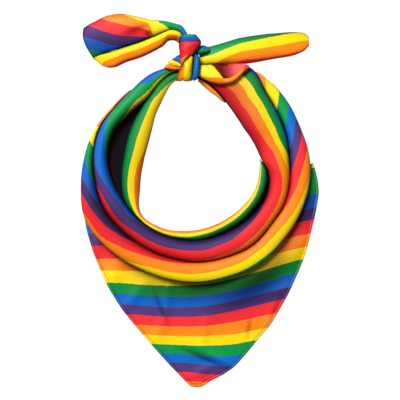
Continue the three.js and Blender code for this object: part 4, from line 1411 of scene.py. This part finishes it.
@dataclass(frozen=True)
class StitchRow:
    """Lockstitches along a seam: short tight bars of thread, evenly spaced and a little askew."""

    thread: bpy.types.Material
    pitch: float = 2.6 * MM
    length: float = 2.0 * MM
    thickness: float = 0.42 * MM
    skew: float = 0.08
    seed: int = 7

    def _nodes(self) -> tuple[bpy.types.NodeTree, dict[str, str]]:
        """Builds the node group that repeats the stitch, and the identifiers of its inputs by name."""
        tree = bpy.data.node_groups.new("stitch_row", "GeometryNodeTree")
        kinds = {
            "Seam": "Geometry", "Pitch": "Float", "Length": "Float", "Thickness": "Float", "Skew": "Float",
            "Seed": "Int", "Thread": "Material",
        }
        made = {
            name: tree.interface.new_socket(name, in_out="INPUT", socket_type="NodeSocket" + kind)
            for name, kind in kinds.items()
        }
        tree.interface.new_socket("Stitches", in_out="OUTPUT", socket_type="NodeSocketGeometry")
        given = add_node(tree, "NodeGroupInput").outputs
        curve = add_node(tree, "GeometryNodeMeshToCurve", None, Mesh=given["Seam"])
        spaced = add_node(
            tree, "GeometryNodeResampleCurve", {"mode": "LENGTH"}, Curve=curve.outputs[0],
            Length=given["Pitch"],
        )
        bar = add_node(tree, "GeometryNodeMeshUVSphere", None, Segments=8, Rings=5, Radius=0.5)
        size = add_node(
            tree, "ShaderNodeCombineXYZ", None, X=given["Length"], Y=given["Thickness"], Z=given["Thickness"],
        )
        tangent = add_node(tree, "GeometryNodeInputTangent")
        along = add_node(tree, "FunctionNodeAlignRotationToVector", {"axis": "X"}, Vector=tangent.outputs[0])
        other = add_node(tree, "ShaderNodeMath", {"operation": "MULTIPLY"}, in_0=given["Skew"], in_1=-1.0)
        turn = add_node(
            tree, "FunctionNodeRandomValue", {"data_type": "FLOAT"}, in_2=other.outputs[0],
            in_3=given["Skew"], Seed=given["Seed"],
        )
        askew = add_node(
            tree, "FunctionNodeAxisAngleToRotation", None, Axis=(0.0, 0.0, 1.0), Angle=turn.outputs[1],
        )
        turned = add_node(
            tree, "FunctionNodeRotateRotation", None, Rotation=along.outputs[0], in_1=askew.outputs[0],
        )
        placed = add_node(
            tree, "GeometryNodeInstanceOnPoints", None, Points=spaced.outputs[0],
            Instance=bar.outputs["Mesh"], Rotation=turned.outputs[0], Scale=size.outputs[0],
        )
        real = add_node(tree, "GeometryNodeRealizeInstances", None, Geometry=placed.outputs[0])
        finished = add_node(
            tree, "GeometryNodeSetMaterial", None, Geometry=real.outputs[0], Material=given["Thread"],
        )
        add_node(tree, "NodeGroupOutput", None, in_0=finished.outputs[0])
        return tree, {name: socket.identifier for name, socket in made.items()}

    def build(self, name: str, line: np.ndarray) -> bpy.types.Object:
        """Sews one seam.

        Args:
            name: the piece's name.
            line: points along the seam.

        Returns:
            The seam's stitches as one piece.
        """
        seam = bpy.data.meshes.new(name + "_line")
        seam.from_pydata(line.tolist(), [(place, place + 1) for place in range(len(line) - 1)], [])
        piece = bpy.data.objects.new(name, seam)
        bpy.context.collection.objects.link(piece)
        tree, keys = self._nodes()
        modifier = piece.modifiers.new("stitch_row", "NODES")
        modifier.node_group = tree
        for key in ("Pitch", "Length", "Thickness", "Skew", "Seed", "Thread"):
            modifier[keys[key]] = getattr(self, key.lower())
        graph = bpy.context.evaluated_depsgraph_get()
        made = bpy.data.meshes.new_from_object(piece.evaluated_get(graph), depsgraph=graph)
        piece.modifiers.remove(modifier)
        piece.data = made
        return attach(piece, "hem")


@dataclass
class Bib:
    """The flat point of the cloth below the band, with its two hems.

    Attributes:
        satin, reverse, hem_satin: materials of the printed face, the back and the turned edge.
        stitches: the seam along each hem.
        band: the folds that it hangs from.
        rings, sections: points from the band to the hem, and along the band.
        pucker_depth, pucker_length: depth and length of the waves that the seam leaves.
        slack: depth of the cloth's faint unevenness.
        hem_slit, hem_wall: the opening left below a hem, and its cloth's thickness.
    """

    satin: bpy.types.Material
    reverse: bpy.types.Material
    hem_satin: bpy.types.Material
    stitches: StitchRow
    band: Band
    rings: int = 90
    sections: int = 260
    pucker_depth: float = 0.55 * MM
    pucker_length: float = 9 * MM
    slack: float = 0.25 * MM
    hem_slit: float = 0.6 * MM
    hem_wall: float = 0.3 * MM

    def hem_line(self, at: np.ndarray, inset: float) -> np.ndarray:
        """Plan points of the bib's outline, moved in by a distance."""
        outline = polar(at, BIB_DROP * column(HEM, "reach", at))
        along = np.gradient(outline, axis=0)
        along /= np.linalg.norm(along, axis=1, keepdims=True)
        inward = np.stack([along[:, 1], -along[:, 0]], axis=1)
        towards = np.sign(np.sum(inward * (CENTRE - outline), axis=1, keepdims=True))
        return outline + inward * towards * inset

    def directions(self, first: float, last: float) -> np.ndarray:
        """Directions of the bib's sections, closer together towards the point."""
        spread = np.linspace(0, 1, self.sections)
        near_point = (HEM_POINT - HEM[0].at) / (HEM[-1].at - HEM[0].at)
        eased = spread - 0.09 * np.sin(2 * math.pi * (spread - near_point))
        eased = (eased - eased[0]) / (eased[-1] - eased[0])
        every = HEM[0].at + (HEM[-1].at - HEM[0].at) * eased
        return np.concatenate([[first], every[(every > first + 0.05) & (every < last - 0.05)], [last]])

    def pucker(self, at: np.ndarray, seed: float) -> np.ndarray:
        """Small waves of the hem, where the stitching gathers the cloth."""
        reach = np.radians(at) * BIB_DROP * 0.7
        return self.pucker_depth * ruffle(reach / self.pucker_length, np.zeros(len(at)), seed)

    def build(self) -> None:
        """Builds the bib's cloth and both hems."""
        at = self.directions(HEM[0].at, HEM[-1].at)
        start = polar(at, self.band.edges(at)["outer_limit"] - BIB_TUCK)
        end = self.hem_line(at, HEM_WIDTH)
        share = np.linspace(0, 1, self.rings)[None, :, None]
        plan = start[:, None, :] * (1 - share) + end[:, None, :] * share
        lift = bib_lift(plan) + self.pucker(at, seed=41.0)[:, None] * np.clip(share[..., 0] * 5 - 4, 0, 1)
        lift += self.slack * ruffle(plan[..., 0] / (16 * MM), plan[..., 1] / (9 * MM), seed=47.0)
        lift = np.maximum(lift, BIB_LIFT + CLOTH)
        points = np.concatenate([plan, lift[..., None]], axis=2)
        # Painted shade: the bib is darker just below the band, and takes the band's painted shadow and its
        # creases' painted shade
        painted_shade_under_band = 1 - 0.7 * np.exp(-(share[..., 0] * self.rings / 11) ** 2)
        shade = painted_shade_under_band * (1 - painted_shade_depth(plan, BIB_PAINTED_SHADOWS))
        sheet = ClothSheet("bib_cloth", points, bib_stripe(plan), shade)
        hems = (
            self.hem("hem_left_cloth", HEM[0].at, HEM_POINT, 43.0, "hem_left"),
            self.hem("hem_right_cloth", HEM_POINT, HEM[-1].at, 45.0, "hem_right"),
            self.stitches.build("left_stitches", self.stitch_line(HEM[0].at + 1, HEM_POINT - 0.4, 43.0)),
            self.stitches.build("right_stitches", self.stitch_line(HEM_POINT + 0.4, HEM[-1].at - 1, 45.0)),
        )
        dress_sheet(sheet, self.satin, self.reverse, "laid", "bib", with_pieces=hems)

    def hem_levels(self, at: np.ndarray, seed: float) -> tuple[np.ndarray, np.ndarray]:
        """Level of a hem's underside and its height above it, with its puckers."""
        base = bib_lift(self.hem_line(at, HEM_WIDTH)) - CLOTH + 0.5 * self.pucker(at, seed=41.0) - 0.2 * MM
        return np.maximum(base, 0.1 * MM), HEM_THICKNESS + 0.4 * self.pucker(at, seed)

    def stitch_line(self, first: float, last: float, seed: float) -> np.ndarray:
        """Points along a hem's seam, just on its surface near its inner edge."""
        at = self.directions(first, last)
        base, height = self.hem_levels(at, seed)
        plan = self.hem_line(at, HEM_WIDTH - SEAM_INSET)
        return np.concatenate([plan, (base + SEAM_LEVEL * height)[:, None]], axis=1)

    def hem(self, name: str, first: float, last: float, seed: float, node: str) -> bpy.types.Object:
        """Builds one side's turned hem as a soft flattened roll.

        Args:
            name: the piece's name.
            first: direction of its start.
            last: direction of its end.
            seed: shifts its puckers.
            node: CAD node that it stands for.

        Returns:
            The hem's piece.
        """
        at = self.directions(first, last)
        outer, inner = self.hem_line(at, 0.0), self.hem_line(at, HEM_WIDTH)
        base, height = self.hem_levels(at, seed)
        # Like every roll, the hem is painted darker at its edges as shade
        roll = Roll(
            name, inner, outer, base, height, bib_stripe(inner), bib_stripe(outer), slit=self.hem_slit,
            across=24,
        )
        sheet = roll.sheet()
        sheet.thickness = self.hem_wall
        return attach(sheet.build(self.hem_satin, self.reverse), "hem", node)


@dataclass
class Tails:
    """Both tails of the knot, the left one's flap and the right one's open lip."""

    satin: bpy.types.Material
    reverse: bpy.types.Material
    sections: int = 90
    creases: float = 0.8 * MM
    root_tuck: float = 0.8 * MM
    root_drop: float = 2.7 * MM
    rim_slit: float = 1 * MM

    def left_root(self) -> np.ndarray:
        """Plan point where the left tail leaves the knot."""
        return knot_point(-0.18, 0.46)

    def right_root(self) -> np.ndarray:
        """Plan point where the right tail leaves the knot."""
        right = -KNOT_OFFSET + KNOT_WIDTH / 2 - self.root_tuck
        return CENTRE + np.array([right, KNOT_RISE - self.root_drop])

    def build(self) -> None:
        """Builds all four pieces."""
        self._build_left()
        self._build_right()
        self._build_lip()

    def _crease(self, sheet: ClothSheet, seed: float, share: float = 1.0) -> ClothSheet:
        """A tail's sheet with soft creases along it."""
        rows, columns = sheet.points.shape[:2]
        along = np.linspace(0, 1, rows)[:, None] * 2.6
        across = np.linspace(0, 1, columns)[None, :] * 5.5
        depth = self.creases * share * ruffle(along, across, seed)
        depth += 0.3 * self.creases * share * ruffle(along * 4, across * 1.6, seed + 9)
        return sheet.pushed(depth)

    def _build_left(self) -> None:
        """Builds the left tail and the flap along its lower side."""
        root = self.left_root()
        at = np.linspace(0, LEFT_TAIL[-1].at, self.sections)
        read, main_print, flap_print = (columns(rows, at) for rows in (LEFT_TAIL, LEFT_PRINT, FLAP_PRINT))
        top = plan_line(root, -LEFT_LENGTH * read["top_x"], LEFT_WIDTH * read["top_y"])
        crease = plan_line(root, -LEFT_LENGTH * read["crease_x"], LEFT_WIDTH * read["crease_y"])
        low_y = crease[:, 1] - FLAP_WIDTH * read["low_y"]
        low = np.stack([root[0] - LEFT_LENGTH * read["low_x"], low_y], axis=1)
        ground = np.zeros(len(at))
        main = Roll(
            "left_tail_cloth", top, crease, ground, LEFT_HEIGHT * read["rise"], main_print["near"],
            main_print["far"], lean=-0.35, swell=main_print["swell"],
        )
        flap = Roll(
            "left_tail_flap_cloth", crease, low, ground, FLAP_HEIGHT * read["rise"] * 1.08,
            flap_print["near"], flap_print["far"], lean=-0.3,
        )
        body = self._crease(main.sheet(), seed=61.0)
        fold = self._crease(flap.sheet(), seed=67.0, share=0.7)
        to_end = (LEFT_TAIL[-1].at - at)[:, None]
        line = crease - top
        inward = np.sum((body.points[..., :2] - top[:, None]) * line[:, None], axis=2)
        across = inward / np.sum(line ** 2, axis=1)[:, None]
        bow = np.exp(-((to_end / 0.8) ** 2)) * np.sin(math.pi * np.clip(across, 0, 1) ** 0.85)
        body.points[..., 0] -= TAIL_END_BOW * bow
        # Painted shade under the tail's folds and in its creases; the cloth is also painted darker along its
        # end
        for sheet in (body, fold):
            sheet.shade *= 1 - painted_shade_depth(sheet.points[..., :2], TAIL_PAINTED_SHADE)
            sheet.shade *= 1 - 0.6 * np.exp(-((to_end / 0.14) ** 2))
        dress_sheet(body, self.satin, self.reverse, "folded", "left_tail")
        dress_sheet(fold, self.satin, self.reverse, "folded", "left_tail_flap")

    def _build_right(self) -> None:
        """Builds the long right tail."""
        root = self.right_root()
        at = np.linspace(0, RIGHT_TAIL[-1].at, self.sections)
        read = columns(RIGHT_TAIL, at)
        top, low = (plan_line(root, RIGHT_LENGTH * at, RIGHT_WIDTH * read[side]) for side in ("top", "low"))
        roll = Roll(
            "right_tail_cloth", top, low, np.zeros(len(at)), RIGHT_HEIGHT * read["rise"], read["near"],
            read["far"], lean=0.1,
        )
        tail = self._crease(roll.sheet(), seed=71.0)
        dress_sheet(tail, self.satin, self.reverse, "folded", "right_tail")

    def _lip_roll(
        self, name: str, rows: Sequence[QuadRow], lean: float = 0.0, slit: float = SOLE_SLIT,
    ) -> ClothSheet:
        """One roll of the lip from its table."""
        root = self.right_root() + np.array([0, RIGHT_WIDTH * RIGHT_TAIL[0].low])
        at = np.linspace(0, rows[-1].at, self.sections // 2)
        read = columns(rows, at)
        near, far = quad_edges(read, root, LIP_LENGTH, -LIP_WIDTH)
        roll = Roll(
            name, near, far, np.full(len(at), LIP_BASE), LIP_HEIGHT * read["rise"], read["near"], read["far"],
            lean=lean, slit=slit, across=36,
        )
        return roll.sheet()

    def _build_lip(self) -> None:
        """Builds the lip: its outer cloth, the rim round its mouth, and the pale inside of its pocket."""
        outer = self._lip_roll("right_lip_cloth", LIP_OUTER, lean=0.2)
        outer = self._crease(outer, seed=81.0, share=0.5)
        dress_sheet(outer, self.satin, self.reverse, "folded", "right_tail_lip")
        rim = self._lip_roll("right_lip_rim", LIP_RIM, slit=self.rim_slit)
        dress_sheet(rim, self.satin, self.reverse, "folded")
        pocket = self._crease(self._lip_roll("right_lip_pocket", LIP_POCKET), seed=87.0, share=0.6)
        # Painted shade: the pocket is painted darker towards its first rows, in the shade under the lip's
        # folded edge
        pocket.shade *= straight(POCKET_SHADE, np.linspace(0, 1, len(pocket.shade)))[:, None]
        dress_sheet(pocket, self.reverse, self.satin, "folded")


def quad_edges(
    read: dict[str, np.ndarray], root: np.ndarray, length: float, width: float,
) -> tuple[np.ndarray, np.ndarray]:
    """Plan points of the near and the far edge of a roll whose rows give both edges.

    Args:
        read: values of its rows, by column.
        root: plan point that the rows start from.
        length: what its x values are shares of.
        width: what its y values are shares of.

    Returns:
        The near edge and the far edge.
    """
    near = plan_line(root, length * read["near_x"], width * read["near_y"])
    return near, plan_line(root, length * read["far_x"], width * read["far_y"])


def knot_point(x: float, y: float) -> np.ndarray:
    """Plan point of the knot, from shares of its width and length."""
    return CENTRE + np.array([-KNOT_OFFSET + KNOT_WIDTH * x, KNOT_RISE + KNOT_LENGTH * y])


@dataclass
class Knot:
    """The knot: its wound core, the bands that cross over it and the loops at its sides."""

    satin: bpy.types.Material
    reverse: bpy.types.Material
    sections: int = 60
    creases: float = 0.7 * MM
    loop_step: float = 1.2 * MM

    def wrap(self, name: str, rows: Sequence[QuadRow], base: float, height: float, seed: float) -> ClothSheet:
        """One wrap, pulled tight, with creases along its pull.

        Args:
            name: the sheet's name.
            rows: its sections.
            base: level of its underside.
            height: its greatest height.
            seed: shifts its creases.

        Returns:
            The creased sheet.
        """
        at = np.linspace(0, rows[-1].at, self.sections)
        read = columns(rows, at)
        root = np.array([-KNOT_OFFSET, KNOT_RISE - VIEW_SHARE * (base - VIEW_LEVEL)]) + CENTRE
        near, far = quad_edges(read, root, KNOT_WIDTH, KNOT_LENGTH)
        # Painted shade: each wrap is painted dark at both edges and in the knot's creases
        roll = Roll(
            name, near, far, np.full(len(at), base), height * read["rise"], read["near"], read["far"],
            near_shade=0.12, far_shade=0.12, near_reach=0.22, far_reach=0.22, across=40,
        )
        sheet = roll.sheet()
        along = np.linspace(0, 1, len(at))[:, None]
        across = np.linspace(0, 1, roll.across)[None, :] * 6
        sheet.shade = sheet.shade * (1 - painted_shade_depth(sheet.points[..., :2], KNOT_PAINTED_SHADE))
        return sheet.pushed(self.creases * ruffle(along * 1.6, across + 2.2 * along, seed))

    def build(self) -> None:
        """Builds the core, the wraps, the loops and the gather beside the right tail."""
        self._build_core()
        upper = self.wrap("knot_upper_cloth", UPPER_WRAP, CORE_TOP, WRAP_HEIGHT, seed=91.0)
        dress_sheet(upper, self.satin, self.reverse, "folded", "knot_upper_wrap")
        upper_base = LOOP_BASE + self.loop_step
        upper_loop = self.wrap("knot_loop_cloth", LOOP_UPPER, upper_base, LOOP_HEIGHT, seed=97.0)
        lower_loop = self.wrap("knot_loop_lower", LOOP_LOWER, LOOP_BASE, LOOP_HEIGHT, seed=99.0)
        tuck = self.wrap("knot_loop_tuck", LOOP_TUCK, LOOP_BASE, LOOP_HEIGHT, seed=101.0)
        gather = self.wrap("knot_gather", GATHER, GATHER_BASE, LOOP_HEIGHT, seed=103.0)
        loops = (
            attach(upper_loop.build(self.satin, self.reverse), "satin", "knot_left_loop"),
            *(attach(loop.build(self.satin, self.reverse), "satin") for loop in (lower_loop, tuck, gather)),
        )
        lower = self.wrap("knot_lower_cloth", LOWER_WRAP, CORE_TOP, WRAP_HEIGHT, seed=93.0)
        dress_sheet(lower, self.satin, self.reverse, "folded", "knot_lower_wrap", with_pieces=loops)
        band = self.wrap("knot_lower_band", LOWER_BAND, CORE_TOP, WRAP_HEIGHT, seed=95.0)
        dress_sheet(band, self.satin, self.reverse, "folded")

    def _build_core(self) -> None:
        """Builds the wound cloth inside the knot as a closed padded lump."""
        low, high = (np.array(corner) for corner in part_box("knot_core"))
        middle, half = (low + high) / 2, (high - low) / 2
        at = np.linspace(0, 2 * math.pi, CORE_SIDES + 1)[:-1]
        rise = np.linspace(-math.pi / 2, math.pi / 2, CORE_SIDES // 2 + 1)
        rounded = np.abs(np.cos(rise)) ** 0.6 * 0.98
        upright = np.sign(np.sin(rise)) * np.abs(np.sin(rise)) ** 0.8
        verts, faces, cloth = [], [], []
        for level, (ring, up) in enumerate(zip(rounded, upright)):
            for place, angle in enumerate(at):
                bulge = 1 + 0.04 * noise.noise(Vector((math.cos(angle) * 2, math.sin(angle) * 2, up * 3)))
                x = middle[0] + half[0] * ring * math.cos(angle) * bulge
                y = middle[1] + half[1] * ring * math.sin(angle) * bulge
                verts.append((x, y, middle[2] + half[2] * up))
                cloth.append((y, (3.4 + 0.5 * up) * STRIPE))
                if level:
                    here = level * CORE_SIDES + place
                    right = level * CORE_SIDES + (place + 1) % CORE_SIDES
                    faces.append((here - CORE_SIDES, right - CORE_SIDES, right, here))
        mesh = bpy.data.meshes.new("knot_core_cloth")
        mesh.from_pydata(verts, [], faces)
        layer = mesh.uv_layers.new(name="cloth")
        for loop in mesh.loops:
            layer.uv[loop.index].vector = cloth[loop.vertex_index]
        # The core is painted deep in shade all over, as it lies inside the knot
        depth = mesh.attributes.new("painted_fold_shade", "FLOAT", "POINT")
        depth.data.foreach_set("value", np.full(len(verts), 0.75, dtype=np.float32))
        mesh.materials.append(self.satin)
        for face in mesh.polygons:
            face.use_smooth = True
        piece = bpy.data.objects.new("knot_core_cloth", mesh)
        bpy.context.collection.objects.link(piece)
        close_poles(piece)
        attach(piece, "satin", "knot_core")


def close_poles(piece: bpy.types.Object) -> None:
    """Merges the points of a closed lump's two end rings and turns its faces outwards."""
    shape = bmesh.new()
    shape.from_mesh(piece.data)
    bmesh.ops.remove_doubles(shape, verts=shape.verts, dist=1e-6)
    bmesh.ops.holes_fill(shape, edges=[edge for edge in shape.edges if edge.is_boundary])
    bmesh.ops.recalc_face_normals(shape, faces=shape.faces)
    shape.to_mesh(piece.data)
    shape.free()


@dataclass
class Studio:
    """White floor, soft light from above and the camera straight overhead."""

    key_power: float = 27.0
    fill_power: float = 1.5
    world: float = 0.16
    floor_level: float = -0.4 * MM
    table: TableFinish = field(default_factory=TableFinish)

    def build(self) -> None:
        """Builds the floor, the lights and the camera."""
        bpy.context.scene.view_settings.view_transform = "Standard"
        floor_mesh = bpy.data.meshes.new("floor")
        corners = [(-FLOOR, -FLOOR, 0), (FLOOR, -FLOOR, 0), (FLOOR, FLOOR, 0), (-FLOOR, FLOOR, 0)]
        floor_mesh.from_pydata(corners, [], [(0, 1, 2, 3)])
        floor_mesh.materials.append(self.table.build())
        floor = bpy.data.objects.new("floor", floor_mesh)
        floor.location.z = self.floor_level
        bpy.context.collection.objects.link(floor)
        self._light("key_light", (-0.5, 0.75, 1.2), size=0.5, power=self.key_power)
        self._light("fill_light", (0.5, -0.2, 1.4), size=1.2, power=self.fill_power)
        world = bpy.data.worlds.new("studio")
        world.use_nodes = True
        world.node_tree.nodes["Background"].inputs["Color"].default_value = (1, 1, 1, 1)
        world.node_tree.nodes["Background"].inputs["Strength"].default_value = self.world
        bpy.context.scene.world = world
        self._camera()

    def _light(self, name: str, place: tuple[float, float, float], size: float, power: float) -> None:
        """Adds a square soft light that points at the object's middle."""
        light = bpy.data.lights.new(name, "AREA")
        light.size = size
        light.energy = power
        lamp = bpy.data.objects.new(name, light)
        lamp.location = place
        lamp.rotation_euler = (Vector((0, 0, 0)) - Vector(place)).to_track_quat("-Z", "Y").to_euler()
        bpy.context.collection.objects.link(lamp)

    def _camera(self) -> None:
        """Adds the camera, straight above the photograph's middle."""
        camera = bpy.data.cameras.new("camera")
        camera.lens = CAMERA_LENS
        camera.sensor_width = CAMERA_SENSOR
        eye = bpy.data.objects.new("camera", camera)
        distance = VIEW_WIDTH * CAMERA_LENS / CAMERA_SENSOR
        eye.location = (float(CENTRE[0]), float(CENTRE[1]) - VIEW_DROP, distance)
        bpy.context.collection.objects.link(eye)
        bpy.context.scene.camera = eye


def main() -> None:
    """Builds the camera and light first, then the cloth from the bib up to the knot."""
    logging.basicConfig(level=logging.INFO, format="%(name)s: %(message)s")
    Studio().build()
    satin = SatinFinish().build()
    reverse = SatinFinish(name="satin_wrong_side", fade=0.24, roughness=0.62, gloss=0.15).build()
    hem_satin = SatinFinish(name="hemmed_satin").build()
    band = Band(satin, reverse)
    band.build()
    Bib(satin, reverse, hem_satin, StitchRow(ThreadFinish().build()), band).build()
    Tails(satin, reverse).build()
    Knot(satin, reverse).build()
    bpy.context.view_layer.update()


if __name__ == "__main__":
    main()
